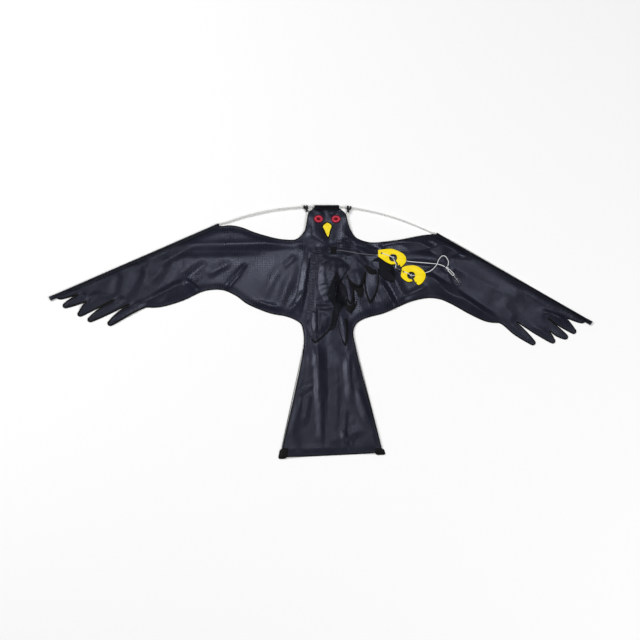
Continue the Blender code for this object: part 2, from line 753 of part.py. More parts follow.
for side in (-1, 1):
    label = SIDE_NAMES[side]
    wrist, tip, along, inward = leading_edge(side)
    start, end = sleeve_line(side, SLEEVE_RADIUS)
    sleeve(label + "_leading_edge_sleeve", start, end - along * TIP_POCKET_LENGTH, SLEEVE_LEVEL,
           SLEEVE_BORE, SLEEVE_HEM, LAYER, inward)
    mouth = (end - along * (TIP_POCKET_LENGTH - GAP)).to_3d() + UP * SLEEVE_LEVEL
    wide = inward.to_3d()
    way = along.to_3d()
    deep = TIP_POCKET_LENGTH - GAP
    half_hem = SLEEVE_HEM / 4
    rings = [ellipse_ring(mouth + way * (deep - TIP_WALL), wide * SLEEVE_BORE, UP * SLEEVE_BORE, 12),
             ellipse_ring(mouth, wide * SLEEVE_BORE, UP * SLEEVE_BORE, 12),
             ellipse_ring(mouth + wide * half_hem, wide * (SLEEVE_RADIUS + half_hem), UP * SLEEVE_RADIUS, 12),
             ellipse_ring(mouth + way * (deep - TIP_WALL) + wide * half_hem, wide * (SLEEVE_RADIUS + half_hem),
                          UP * SLEEVE_RADIUS, 12),
             ellipse_ring(mouth + way * deep + wide * half_hem, wide * SLEEVE_RADIUS, UP * SLEEVE_BORE, 12)]
    place(label + "_wing_tip_pocket", to_mesh(label + "_wing_tip_pocket", ring_loft(rings)), HEM, smooth=40)
    rod(label + "_bow_spar", bow_route(side), BOW_RADIUS, GLASS_FIBRE)

# The head's own sleeve, and the ferrule that joins the bow inside it
bow_top = Vector((0, -BOW_DROP))
head_left = head_point(HEAD_SHARES[-1][0])
head_right = head_point(HEAD_SHARES[1][0])
hem_start = Vector((head_left.x, bow_top.y))
hem_end = Vector((head_right.x, bow_top.y))
sleeve("head_sleeve", hem_start, hem_end, BOW_LEVEL, HEAD_SLEEVE_BORE, HEAD_HEM, HEAD_RISE + LAYER * 1.2,
       Vector((0, -1)))
ferrule_bore = BOW_RADIUS + GAP
turned("bow_ferrule", [(-FERRULE_LENGTH / 2, ferrule_bore), (-FERRULE_LENGTH / 2, FERRULE_RADIUS),
                       (FERRULE_LENGTH / 2, FERRULE_RADIUS), (FERRULE_LENGTH / 2, ferrule_bore)],
       bow_top.to_3d() + UP * BOW_LEVEL, Vector((1, 0, 0)), STEEL, hollow=True)


# Connectors on the bow and the tail spars that they hold
def along_prism(name, centre, way, across, near, far, half_width, half_height):
    """A block from one distance to another along a way, centred on the bow's level."""
    corners = []
    for distance in (near, far):
        for side_step in (-1, 1):
            for rise in (-1, 1):
                corners.append(centre + way * distance + across * half_width * side_step
                               + UP * half_height * rise)
    made = bmesh.new()
    verts = [made.verts.new(corner) for corner in corners]
    bmesh.ops.convex_hull(made, input=verts)
    return loose(name, to_mesh(name, made))


def round_bar(name, centre, axis, near, far, radius, sides=16):
    """A plain cylinder, as a cutter or as a piece to be joined to another."""
    axis = axis.normalized()
    across = axis.orthogonal().normalized()
    rise = axis.cross(across)
    rings = [ellipse_ring(centre + axis * along, across * radius, rise * radius, sides) for along in (near, far)]
    return loose(name, to_mesh(name, ring_loft(rings)))


def connector(side):
    name = SIDE_NAMES[side] + "_t_connector"
    flat_centre, flat_along, flat_down = connector_place(side)
    centre = flat_centre.to_3d() + UP * BOW_LEVEL
    along = flat_along.to_3d()
    down = flat_down.to_3d()
    outer = LOBE_GAP / 2 + LOBE_WIDTH
    stem_radius = TAIL_ROD_RADIUS + GAP + STEM_WALL
    lobe = [(-outer, CONNECTOR_RADIUS), (-LOBE_GAP / 2, CONNECTOR_RADIUS)]
    body = turned(name, lobe, centre, along, BLACK_PLASTIC)
    boolean(body, round_bar(name + "_lobe", centre, along, LOBE_GAP / 2, outer, CONNECTOR_RADIUS), "UNION")
    fork = along_prism(name + "_fork", centre, down, along, BOW_RADIUS + GAP, CONNECTOR_RADIUS + STEM_WALL,
                       outer - GAP, stem_radius * 0.8)
    boolean(body, fork, "UNION")
    stem = round_bar(name + "_stem", centre, down, CONNECTOR_RADIUS, STEM_LENGTH, stem_radius)
    boolean(body, stem, "UNION")
    collar = round_bar(name + "_collar", centre, down, STEM_LENGTH - STEM_WALL, STEM_LENGTH,
                       stem_radius + STEM_WALL / 3)
    boolean(body, collar, "UNION")
    bow_bore = round_bar(name + "_bow_bore", centre, along, -outer * 2, outer * 2, BOW_RADIUS + GAP)
    boolean(body, bow_bore, "DIFFERENCE")
    socket = round_bar(name + "_socket", centre, down, STEM_LENGTH - SOCKET_DEPTH, STEM_LENGTH * 2,
                       TAIL_ROD_RADIUS + GAP)
    boolean(body, socket, "DIFFERENCE")
    body.data.shade_smooth()
    body.data.set_sharp_from_angle(angle=math.radians(40))


def tail_pocket(side):
    """A sewn corner patch with a blind channel for the spar's end."""
    name = SIDE_NAMES[side] + "_tail_pocket"
    root, corner, on_edge, on_hem = tail_edges(side)
    mouth, into = tail_pocket_place(side)
    cut = (on_hem - on_edge).normalized()
    outward = left_normal(cut)
    if outward.dot(corner - mouth) < 0:
        outward = -outward
    step = outward * GAP
    edge_way = (corner - root).normalized()
    hem_way = (corner - on_hem).normalized()
    bulge = CLOTH * 2
    outline = [on_edge + step, on_hem + step, corner + hem_way * bulge * 0.4 + edge_way * bulge,
               corner + hem_way * bulge + edge_way * bulge * 0.4]
    middle = sum(outline, Vector((0, 0))) / len(outline)
    if (outline[1] - outline[0]).cross(outline[2] - outline[1]) < 0:
        outline.reverse()
    rings = [[point.to_3d() + UP * height for point in (p.lerp(middle, shrink) for p in outline)]
             for height, shrink in ((0.0, 0.0), (CLOTH, 0.0), (POCKET_RADIUS * 2, 0.22))]
    body = place(name, to_mesh(name, ring_loft(rings)), HEM)
    channel = round_bar(name + "_channel", mouth.to_3d() + UP * POCKET_LEVEL, into.to_3d(),
                        -TAIL_POCKET_LENGTH / 2, TAIL_POCKET_LENGTH / 2 - CLOTH, TAIL_ROD_RADIUS + GAP, 12)
    boolean(body, channel, "DIFFERENCE")


def edge_strip(points, width, inward_side):
    """A strip of the given width along one side of a line."""
    inner = []
    for k, point in enumerate(points):
        way = (points[min(k + 1, len(points) - 1)] - points[max(k - 1, 0)]).normalized()
        inner.append(point + left_normal(way) * width * inward_side)
    return points + inner[::-1]


for side in (-1, 1):
    label = SIDE_NAMES[side]
    connector(side)
    rod(label + "_tail_spar", SPAR_LINES[side], TAIL_ROD_RADIUS, GLASS_FIBRE)
    tail_pocket(side)
    root, corner, on_edge, on_hem = tail_edges(side)
    inset = (on_hem - on_edge).normalized() * GAP
    hem_line = [root + inset, on_edge + inset]
    patch(label + "_tail_hem", edge_strip(hem_line, TAIL_HEM, -side * -1), 1, HEM)


# The face
def oval(centre, width, height, count=24):
    return [centre + Vector((width / 2 * math.cos(math.tau * k / count),
                             height / 2 * math.sin(math.tau * k / count))) for k in range(count)]


PUPIL_SHARE = 0.34
BEAK_SHARES = [(0.0, 0.0), (-0.26, 0.09), (-0.5, 0.27), (-0.3, 0.56), (0.1, 1.0), (0.34, 0.56), (0.5, 0.24),
               (0.3, 0.07)]
for side in (-1, 1):
    label = SIDE_NAMES[side]
    eye_centre = Vector((side * EYE_SPACING / 2, -EYE_DROP))
    patch(label + "_eye_ring", oval(eye_centre, EYE_WIDTH, EYE_HEIGHT), 1, RED_PATCH)
    patch(label + "_pupil", oval(eye_centre, EYE_WIDTH * PUPIL_SHARE, EYE_HEIGHT * PUPIL_SHARE, 16), 2,
          DARK_RED_PATCH)
beak = [Vector((x * BEAK_WIDTH, -BEAK_DROP - y * BEAK_LENGTH)) for x, y in BEAK_SHARES]
patch("beak", smooth_line(beak + beak[:1], 3)[:-1], 1, YELLOW_PATCH)


# The belly: pouch, seam, hem, line tab and feather flaps
def belly_point(share):
    return Vector((share[0] * POUCH_WIDTH, -POUCH_DROP - share[1] * POUCH_LENGTH))


def pouch_swell(point):
    """How far the pouch stands off, with creases across its left half."""
    middle = belly_point((0.06, 0.56))
    across = (point.x - middle.x) / (POUCH_WIDTH * 0.46)
    down = (point.y - middle.y) / (POUCH_LENGTH * 0.42)
    dome = max(0.0, 1 - across * across - down * down)
    crease = 0.12 * math.sin(down * math.pi * 3.2 + across) * dome
    return POUCH_SWELL * (dome * 0.9 + crease)


def feather(root_share, tip_share, width_share):
    """A feather flap: a strip that narrows to a round point."""
    root = belly_point(root_share)
    tip = belly_point(tip_share)
    half = width_share * POUCH_WIDTH / 2
    way = (tip - root).normalized()
    side = left_normal(way)
    length = (tip - root).length
    profile_shares = [(0.0, 0.8), (0.3, 0.98), (0.6, 0.94), (0.8, 0.66), (0.93, 0.34)]
    one = [root + way * length * a + side * half * b for a, b in profile_shares]
    two = [root + way * length * a - side * half * b for a, b in profile_shares]
    edge = smooth_line(one + [tip], 3)
    return edge + smooth_line([tip] + two[::-1], 3)[1:]


def tip_curl(tip_share, reach_share):
    """A lift that grows towards a free tip."""
    tip = belly_point(tip_share)
    reach = reach_share * POUCH_LENGTH

    def lift(point):
        return FLAP_CURL * smoothstep(1 - (point - tip).length / reach)
    return lift


GUSSET_SHARES = [(-0.395, -0.08), (-0.44, 0.12), (-0.471, 0.577), (-0.536, 1.155), (-0.515, 1.27),
                 (-0.33, 1.30), (-0.32, 1.0), (-0.314, 0.4), (-0.314, -0.08)]
POUCH_SHARES = [(-0.30, -0.06), (-0.30, 0.30), (-0.295, 0.70), (-0.29, 1.05), (-0.04, 1.06), (0.20, 1.03),
                (0.225, 0.82), (0.27, 0.60), (0.44, 0.40), (0.63, 0.21), (0.665, -0.06)]
BELLY_FLAP_SHARES = [(-0.535, 1.18), (-0.50, 1.50), (-0.40, 1.66), (-0.306, 1.72), (-0.12, 1.60),
                     (0.099, 1.415), (0.16, 1.20), (0.191, 0.98), (-0.29, 0.98), (-0.30, 1.12)]
FEATHERS = {
    "deep_feather": ((0.283, 0.25), (0.296, 1.213), 0.31, 1),
    "tail_feather": ((0.361, 0.943), (0.473, 1.768), 0.25, 2),
    "lower_breast_feather": ((0.518, 0.443), (0.636, 1.132), 0.288, 3),
    "breast_feather": ((0.439, 0.212), (0.617, 0.966), 0.314, 4),
    "under_breast_feather": ((0.727, 0.327), (0.884, 0.808), 0.26, 1),
    "bright_feather": ((1.198, 0.135), (1.127, 0.935), 0.38, 2),
    "shoulder_feather": ((1.303, 0.058), (1.747, 0.52), 0.445, 1),
    "short_black_feather": ((0.832, 0.05), (1.303, 0.376), 0.225, 6),
    "broad_feather": ((0.690, 0.0), (0.832, 0.645), 0.54, 5),
}
patch("side_seam", [belly_point(share) for share in GUSSET_SHARES], 1, RIPSTOP)
patch("belly_flap", [belly_point(share) for share in BELLY_FLAP_SHARES], 2, RIPSTOP)
COVERED_TIPS = ("deep_feather", "under_breast_feather")
for name, (root_share, tip_share, width_share, level) in FEATHERS.items():
    curl = None if name in COVERED_TIPS else tip_curl(tip_share, 0.14)
    patch(name, feather(root_share, tip_share, width_share), level, RIPSTOP, curl)
patch("belly_pouch", [belly_point(share) for share in POUCH_SHARES], 6, RIPSTOP, pouch_swell, 1)
hem_top = -POUCH_DROP + POUCH_HEM
hem_left = belly_point((-0.345, 0)).x
hem_right = belly_point((0.68, 0)).x
hem_outline = [Vector((hem_left, hem_top)), Vector((hem_left, -POUCH_DROP)),
               Vector((hem_right, -POUCH_DROP)), Vector((hem_right, hem_top))]
patch("pouch_hem", hem_outline, 7, HEM)
tab_left = belly_point((0.165, 0)).x - TAB_WIDTH / 2
tab_outline = [Vector((tab_left, hem_top - GAP)), Vector((tab_left, hem_top - TAB_LENGTH)),
               Vector((tab_left + TAB_WIDTH, hem_top - TAB_LENGTH)), Vector((tab_left + TAB_WIDTH, hem_top - GAP))]
patch("line_tab", tab_outline, 8, WEBBING)

# Winders: outline in shares of the length, from the middle of the hub hole
WINDER_LEVEL = 0.0052
UNDER_LEVEL = WINDER_LEVEL - GAP - CORD_DIAMETER / 2
LACE_BEND = CORD_DIAMETER / 2 + GAP * 2
LACE_LEVEL = WINDER_LEVEL + WINDER_THICKNESS + LACE_BEND
UPPER_HUB = Vector((0.1796, -0.1546))
LOWER_HUB = Vector((0.2288, -0.2061))
UPPER_TURN = math.radians(-17.7)
LOWER_TURN = math.radians(-21.7)
SLOT_WIDTH = 0.0040
NOTCH_RADIUS = 0.0022
UPPER_TOP_SHARES = [(-0.531, 0.105), (-0.376, 0.181), (-0.183, 0.257), (-0.061, 0.275), (0.096, 0.264),
                    (0.262, 0.223), (0.359, 0.159), (0.41, 0.08), (0.426, -0.01), (0.404, -0.099),
                    (0.344, -0.213)]
UPPER_LOW_SHARES = [(0.344, -0.213), (0.244, -0.198), (0.185, -0.176), (0.091, -0.199), (-0.002, -0.229),
                    (-0.149, -0.208), (-0.304, -0.163), (-0.463, -0.105)]
LOWER_TOP_SHARES = [(-0.364, 0.141), (-0.276, 0.232), (-0.147, 0.304), (-0.023, 0.353), (0.134, 0.353),
                    (0.286, 0.302), (0.397, 0.221), (0.44, 0.112), (0.438, -0.014), (0.397, -0.142),
                    (0.334, -0.215)]
LOWER_LOW_SHARES = [(0.334, -0.215), (0.261, -0.196), (0.181, -0.158), (0.106, -0.167), (0.002, -0.236),
                    (-0.105, -0.23), (-0.224, -0.194), (-0.303, -0.134)]
UPPER_LACE_SHARE = (-0.389, 0.034)
LOWER_LACE_SHARE = (-0.266, 0.027)
UPPER_SLOT_SHARE = (0.129, -0.119)
LOWER_SLOT_SHARE = (0.116, -0.121)
UPPER_NOTCH_SHARE = (0.275, -0.187)
LOWER_NOTCH_SHARE = (0.229, -0.174)


def winder_point(hub, turn, share):
    local = Vector((share[0] * WINDER_LENGTH, share[1] * WINDER_LENGTH))
    return hub + Matrix.Rotation(turn, 2) @ local


def winder(name, hub, turn, top_shares, low_shares, lace_share, slot_share, notch_share):
    """A flat line winder with its hub hole, slot, notch and lacing hole."""
    top = smooth_line([winder_point(hub, turn, share) for share in top_shares], 3)
    low = smooth_line([winder_point(hub, turn, share) for share in low_shares], 3)
    outline = top + low[1:]
    bottom = WINDER_LEVEL
    height = WINDER_LEVEL + WINDER_THICKNESS
    body = prism(name, outline[::-1], bottom, height)
    body.parent = kite
    over = WINDER_THICKNESS
    for centre, radius, sides in ((hub, HUB_HOLE_RADIUS, 24),
                                  (winder_point(hub, turn, lace_share), LACE_HOLE_RADIUS, 12),
                                  (winder_point(hub, turn, notch_share), NOTCH_RADIUS, 12)):
        hole = round_bar(name + "_hole", centre.to_3d() + UP * bottom, UP, -over, over * 2, radius, sides)
        boolean(body, hole, "DIFFERENCE")
    mouth = winder_point(hub, turn, slot_share)
    way = (mouth - hub).normalized()
    across = left_normal(way) * SLOT_WIDTH / 2
    far = hub + way * HUB_HOLE_RADIUS * 2.6
    near = hub + way * HUB_HOLE_RADIUS / 2
    slot = prism(name + "_slot", [near - across, far - across * 1.5, far + across * 1.5, near + across],
                 bottom - over, height + over)
    boolean(body, slot, "DIFFERENCE")
    body.data.materials.clear()
    body.data.materials.append(YELLOW_PLASTIC)


winder("upper_winder", UPPER_HUB, UPPER_TURN, UPPER_TOP_SHARES, UPPER_LOW_SHARES, UPPER_LACE_SHARE,
       UPPER_SLOT_SHARE, UPPER_NOTCH_SHARE)
winder("lower_winder", LOWER_HUB, LOWER_TURN, LOWER_TOP_SHARES, LOWER_LOW_SHARES, LOWER_LACE_SHARE,
       LOWER_SLOT_SHARE, LOWER_NOTCH_SHARE)


def hub_knot(name, hub, height):
    """A knot in a winder's hub hole, from just over the cloth to over the plate."""
    middle = height / 2
    profile = [(-middle, KNOT_RADIUS * 0.5), (-middle * 0.75, KNOT_RADIUS * 0.85), (-middle * 0.3, KNOT_RADIUS),
               (middle * 0.3, KNOT_RADIUS), (middle * 0.75, KNOT_RADIUS * 0.85), (middle, KNOT_RADIUS * 0.5)]
    base = CLOTH + GAP
    turned(name, profile, hub.to_3d() + UP * (base + middle), UP, CORD, sides=12)


KNOT_HEIGHT = LACE_LEVEL + CORD_DIAMETER - CLOTH - GAP
hub_knot("upper_hub_knot", UPPER_HUB, KNOT_HEIGHT)
hub_knot("lower_hub_knot", LOWER_HUB, KNOT_HEIGHT)


def lacing(name, hub, turn, lace_share):
    """The cord over a winder, from its lacing hole to the knot in the hub."""
    hole = winder_point(hub, turn, lace_share)
    way = (hub - hole).normalized().to_3d()
    edge = hole.to_3d() + way * LACE_HOLE_RADIUS + UP * (WINDER_LEVEL + WINDER_THICKNESS)
    route = [edge - way * LACE_BEND - UP * (WINDER_THICKNESS - GAP)]
    for turn in (180, 157.5, 135, 112.5, 90):
        angle = math.radians(turn)
        route.append(edge + way * LACE_BEND * math.cos(angle) + UP * LACE_BEND * math.sin(angle))
    end = hub.to_3d() + UP * LACE_LEVEL - way * (KNOT_RADIUS + GAP)
    rod(name, route + [end], CORD_DIAMETER / 2, CORD, resolution=2)


lacing("upper_lacing", UPPER_HUB, UPPER_TURN, UPPER_LACE_SHARE)
lacing("lower_lacing", LOWER_HUB, LOWER_TURN, LOWER_LACE_SHARE)

# Cords, as points chosen by hand along each route
UPPER_LEG = [(0.0258, -0.1361, 0.0152), (0.0360, -0.1366, 0.0141), (0.0480, -0.1375, 0.0125),
             (0.0600, -0.1392, 0.0114), (0.0720, -0.1410, 0.0102), (0.0840, -0.1428, 0.0093),
             (0.0960, -0.1442, 0.0083), (0.1080, -0.1450, 0.0066), (0.1220, -0.1455, 0.0046),
             (0.1355, -0.1462, 0.0037), (0.1520, -0.1438, 0.0037), (0.1700, -0.1428, 0.0037),
             (0.1880, -0.1446, 0.0037), (0.2040, -0.1560, 0.0036), (0.2150, -0.1628, 0.0032),
             (0.2300, -0.1650, 0.0027), (0.2470, -0.1665, 0.0026), (0.2640, -0.1680, 0.0026),
             (0.2797, -0.1694, 0.0026), (0.2998, -0.1717, 0.0026), (0.3120, -0.1752, 0.0028),
             (0.3205, -0.1795, 0.0034)]
LOWER_LEG = [(0.2325, -0.2055, 0.0037), (0.2470, -0.2032, 0.0037), (0.2580, -0.2003, 0.0037),
             (0.2688, -0.1969, 0.0034), (0.2797, -0.1925, 0.0028), (0.2878, -0.1867, 0.0030),
             (0.2946, -0.1795, 0.0042), (0.2998, -0.1717, 0.0050), (0.3028, -0.1621, 0.0042),
             (0.3082, -0.1534, 0.0034), (0.3137, -0.1485, 0.0033), (0.3205, -0.1485, 0.0033),
             (0.3267, -0.1552, 0.0030), (0.3303, -0.1640, 0.0027), (0.3300, -0.1720, 0.0027),
             (0.3285, -0.1775, 0.0031)]
SLOT_LEG = [(0.1811, -0.1583, 0.0038), (0.1845, -0.1650, 0.0037), (0.1872, -0.1715, 0.0037),
            (0.1872, -0.1770, 0.0044), (0.1864, -0.1815, 0.0056), (0.1881, -0.1850, 0.0062)]


def cord(name, points, steps):
    route = smooth_line([Vector(point) for point in points], 8)
    total = sum((b - a).length for a, b in zip(route, route[1:]))
    rod(name, even_line(route, max(steps, round(total / CORD_DIAMETER / 2.9))), CORD_DIAMETER / 2, CORD,
        resolution=2)


cord("upper_bridle_leg", UPPER_LEG, 8)
cord("lower_bridle_leg", LOWER_LEG, 8)
cord("middle_bridle_link", SLOT_LEG, 8)

# The knot where the legs join, and the loop that holds the swivel
JOIN = Vector((0.3262, -0.1840, 0.0))
LOOP_END = Vector((0.3450, -0.2050, 0.0))
LOOP_WIDTH = 0.0052
SWIVEL_LEVEL = CLOTH + GAP + RING_RADIUS + RING_WIRE / 2
join_way = (LOOP_END - JOIN).normalized()
knot_level = CLOTH + GAP + KNOT_RADIUS
turned("bridle_knot", [(-KNOT_RADIUS * 1.2, KNOT_RADIUS * 0.45), (-KNOT_RADIUS * 0.8, KNOT_RADIUS * 0.85),
                       (-KNOT_RADIUS * 0.2, KNOT_RADIUS), (KNOT_RADIUS * 0.4, KNOT_RADIUS * 0.92),
                       (KNOT_RADIUS, KNOT_RADIUS * 0.7), (KNOT_RADIUS * 1.3, KNOT_RADIUS * 0.35)],
       JOIN + UP * knot_level, join_way, CORD, sides=12)


def stadium(start, end, width, level_start, level_end, count=7):
    """Points round a long loop whose ends lie at two levels."""
    way = (end - start).normalized()
    across = UP.cross(way)
    points = []
    for centre, turn_start, level in ((end, -90, level_end), (start, 90, level_start)):
        for step in range(count):
            angle = math.radians(turn_start + 180 * step / (count - 1))
            points.append(centre + way * width / 2 * math.cos(angle) + across * width / 2 * math.sin(angle)
                          + UP * level)
    return points


loop_start = JOIN + join_way * (KNOT_RADIUS * 1.3 + GAP + LOOP_WIDTH / 2 + CORD_DIAMETER / 2)
loop_far = LOOP_END - join_way * LOOP_WIDTH / 2
loop_points = stadium(loop_start, loop_far, LOOP_WIDTH, knot_level, SWIVEL_LEVEL)
rod("end_loop", loop_points, CORD_DIAMETER / 2, CORD, resolution=2)
bpy.data.objects["end_loop"].data.splines[0].use_cyclic_u = True


# Swivels: a ring with a hollow barrel, and a shank that turns in it
def torus(name, centre, axis, rise, radius, wire, around=20, section=8):
    """A wire ring in the plane of two unit ways."""
    made = bmesh.new()
    out = axis.cross(rise)
    loops = []
    for k in range(around):
        angle = math.tau * k / around
        radial = axis * math.cos(angle) + rise * math.sin(angle)
        loops.append([made.verts.new(point) for point in
                      ellipse_ring(centre + radial * radius, radial * wire, out * wire, section)])
    for k in range(around):
        one = loops[k]
        other = loops[(k + 1) % around]
        for j in range(section):
            made.faces.new((one[j], one[(j + 1) % section], other[(j + 1) % section], other[j]))
    return loose(name, to_mesh(name, made))


BARREL_WALL = 0.0006
SHANK_HEAD_RADIUS = 0.0014
WIRE = RING_WIRE / 2
MOUTH_RADIUS = NECK_RADIUS + GAP
BARREL_BASE = RING_RADIUS + NECK_LENGTH


def swivel_barrel(name, ring_centre, axis):
    """A ring and a barrel beyond it, with a mouth in the barrel's far end for the shank."""
    cavity = BARREL_RADIUS - BARREL_WALL
    far = BARREL_BASE + BARREL_LENGTH
    profile = [(RING_RADIUS, NECK_RADIUS), (BARREL_BASE, NECK_RADIUS), (BARREL_BASE + BARREL_WALL, BARREL_RADIUS),
               (far - BARREL_WALL, BARREL_RADIUS), (far, cavity), (far, MOUTH_RADIUS),
               (far - BARREL_WALL, MOUTH_RADIUS), (far - BARREL_WALL, cavity),
               (BARREL_BASE + BARREL_WALL * 3, cavity)]
    body = turned(name, profile, ring_centre, axis, STEEL, sides=16)
    ring = torus(name + "_ring", ring_centre, axis, UP, RING_RADIUS, WIRE)
    boolean(body, ring, "UNION")
    body.data.materials.clear()
    body.data.materials.append(STEEL)
    return ring_centre + axis * far


def shank_profile(reach):
    """A headed shank: its head inside the barrel, its neck out through the mouth."""
    head = BARREL_WALL + GAP
    return [(-head - BARREL_WALL * 2, SHANK_HEAD_RADIUS), (-head, SHANK_HEAD_RADIUS), (-head, NECK_RADIUS),
            (reach, NECK_RADIUS)]


link_hole = winder_point(LOWER_HUB, LOWER_TURN, LOWER_LACE_SHARE)
plate_way = (link_hole - LOWER_HUB).normalized()
link_base = link_hole + plate_way * (LINK_RING_RADIUS + NECK_RADIUS)
LINK_LEVEL = WINDER_LEVEL + WINDER_THICKNESS / 2
link_axis = plate_way.to_3d()
link_shank_mouth = link_base.to_3d() + UP * LINK_LEVEL + link_axis * (LINK_RING_RADIUS + NECK_LENGTH)
link_ring_centre = link_shank_mouth + link_axis * (BARREL_LENGTH + BARREL_BASE)
swivel_barrel("link_swivel_barrel", link_ring_centre, -link_axis)
turned("link_swivel_shank", shank_profile(NECK_LENGTH), link_shank_mouth, -link_axis, STEEL, sides=12)
boolean(bpy.data.objects["link_swivel_shank"],
        torus("link_ring", link_base.to_3d() + UP * LINK_LEVEL, link_axis, UP, LINK_RING_RADIUS, WIRE), "UNION")

END_TURN = math.radians(-12)
end_axis = Matrix.Rotation(END_TURN, 3, "Z") @ join_way
end_ring_centre = loop_far + join_way * LOOP_WIDTH / 2 + UP * SWIVEL_LEVEL
snap_mouth = swivel_barrel("end_swivel_barrel", end_ring_centre, end_axis)

# The snap: a bent wire hook and its sprung gate
SNAP_ACROSS = UP.cross(end_axis)
HOOK_SHARES = [(0.0, 0.0), (0.12, 0.0), (0.23, -0.36), (0.33, -0.46), (0.55, -0.47), (0.74, -0.46),
               (0.90, -0.34), (0.98, 0.0), (0.90, 0.34), (0.78, 0.45), (0.70, 0.46)]
PIVOT_SHARE = (0.25, 0.22)
PIN_RADIUS = 0.0006
EYE_WALL = 0.0006
snap_start = snap_mouth + end_axis * NECK_LENGTH


def snap_point(share):
    return snap_start + end_axis * share[0] * SNAP_LENGTH + SNAP_ACROSS * share[1] * SNAP_WIDTH


def wire_piece(name, points, radius, sides=8):
    """A solid wire swept along points in a level plane."""
    rings = []
    for k, point in enumerate(points):
        way = (points[min(k + 1, len(points) - 1)] - points[max(k - 1, 0)]).normalized()
        rings.append(ellipse_ring(point, UP.cross(way) * radius, UP * radius, sides))
    return loose(name, to_mesh(name, ring_loft(rings)))


pivot = snap_point(PIVOT_SHARE)
turned("snap_hook", shank_profile(NECK_LENGTH + WIRE), snap_mouth, end_axis, STEEL, sides=12)
snap_hook = bpy.data.objects["snap_hook"]
hook_line = smooth_line([snap_point(share) for share in HOOK_SHARES], 3)
boolean(snap_hook, wire_piece("hook_wire", hook_line, SNAP_WIRE / 2), "UNION")
arm = [snap_point((0.06, 0.0)), snap_point((0.15, 0.08)), pivot]
boolean(snap_hook, wire_piece("hook_arm", arm, SNAP_WIRE / 2), "UNION")
boolean(snap_hook, round_bar("hook_pin", pivot, UP, -SNAP_WIRE / 2, SNAP_WIRE * 1.5, PIN_RADIUS, 12), "UNION")
snap_hook.data.materials.clear()
snap_hook.data.materials.append(STEEL)
gate_level = UP * (SNAP_WIRE / 2 + GAP + SNAP_WIRE / 2)
gate_end = snap_point((0.80, 0.24))
gate_middle = snap_point((0.5, 0.30))
eye_radius = PIN_RADIUS + GAP + EYE_WALL
turned("snap_gate", [(-SNAP_WIRE / 2, eye_radius), (SNAP_WIRE / 2, eye_radius)], pivot + gate_level, UP, STEEL,
       sides=16)
snap_gate = bpy.data.objects["snap_gate"]
gate_line = [pivot + gate_level, gate_middle + gate_level, gate_end + gate_level]
boolean(snap_gate, wire_piece("gate_wire", gate_line, SNAP_WIRE / 2), "UNION")
boolean(snap_gate, round_bar("gate_bore", pivot + gate_level, UP, -SNAP_WIRE, SNAP_WIRE, PIN_RADIUS + GAP, 12),
        "DIFFERENCE")
snap_gate.data.materials.clear()
snap_gate.data.materials.append(STEEL)


# Origins of the moving pieces, each on its joint's axis
def set_origin(name, point):
    piece = bpy.data.objects[name]
    piece.data.transform(Matrix.Translation(-point))
    piece.location = point


set_origin("upper_winder", UPPER_HUB.to_3d())
bpy.data.objects["upper_lacing"].parent = bpy.data.objects["upper_winder"]
bpy.data.objects["upper_lacing"].matrix_parent_inverse = Matrix.Translation(-UPPER_HUB.to_3d())
set_origin("link_swivel_barrel", link_ring_centre)
set_origin("snap_hook", snap_mouth)
set_origin("snap_gate", pivot)


def centre_on_floor():
    """Set the kite so that the middle of its box lies over the origin, on the floor."""
    bpy.context.view_layer.update()
    depsgraph = bpy.context.evaluated_depsgraph_get()
    corners = []
    for piece in kite.children_recursive:
        evaluated = piece.evaluated_get(depsgraph)
        corners += [evaluated.matrix_world @ vert.co for vert in evaluated.to_mesh().vertices]
    low = Vector([min(corner[k] for corner in corners) for k in range(3)])
    high = Vector([max(corner[k] for corner in corners) for k in range(3)])
    kite.location = (-(low.x + high.x) / 2, -(low.y + high.y) / 2, -low.z)


centre_on_floor()
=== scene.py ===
"""The bird scarer kite's looks: ripstop, seams, feathers, cord, plastic, light and camera.

Metres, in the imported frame: +Z up, +Y towards the head. The cloth pieces are draped in order,
each on what already lies under it. Places that are read off the photograph are pixels of its
640 by 640 frame, and at() turns them into metres on the kite.
"""
import math

import bmesh
import bpy
import numpy as np
from mathutils import Matrix, Vector, noise
from mathutils.bvhtree import BVHTree
from mathutils.geometry import delaunay_2d_cdt


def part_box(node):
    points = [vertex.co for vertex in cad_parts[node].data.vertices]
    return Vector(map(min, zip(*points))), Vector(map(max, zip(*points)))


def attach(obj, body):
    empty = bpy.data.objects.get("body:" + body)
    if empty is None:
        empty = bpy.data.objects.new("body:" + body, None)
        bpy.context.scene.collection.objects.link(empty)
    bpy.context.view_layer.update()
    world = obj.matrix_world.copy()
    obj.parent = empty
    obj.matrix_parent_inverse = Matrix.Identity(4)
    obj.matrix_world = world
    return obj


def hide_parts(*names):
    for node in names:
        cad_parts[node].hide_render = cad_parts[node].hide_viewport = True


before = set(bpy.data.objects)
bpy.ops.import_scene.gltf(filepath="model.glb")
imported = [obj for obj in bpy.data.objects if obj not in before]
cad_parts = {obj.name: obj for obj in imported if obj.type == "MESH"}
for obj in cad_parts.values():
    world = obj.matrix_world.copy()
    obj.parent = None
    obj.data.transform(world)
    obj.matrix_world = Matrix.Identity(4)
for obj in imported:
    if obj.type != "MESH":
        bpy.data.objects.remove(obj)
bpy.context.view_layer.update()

# The photograph's frame on the kite
PICTURE_ORIGIN = (320.556, 331.866)
PIXEL_ACROSS = 0.0027206
PIXEL_DOWN = 0.0028952
PICTURE_SIZE = 640
VIEW_ELEVATION = math.radians(70)
CAMERA_DISTANCE = 30.0
SENSOR = 36.0

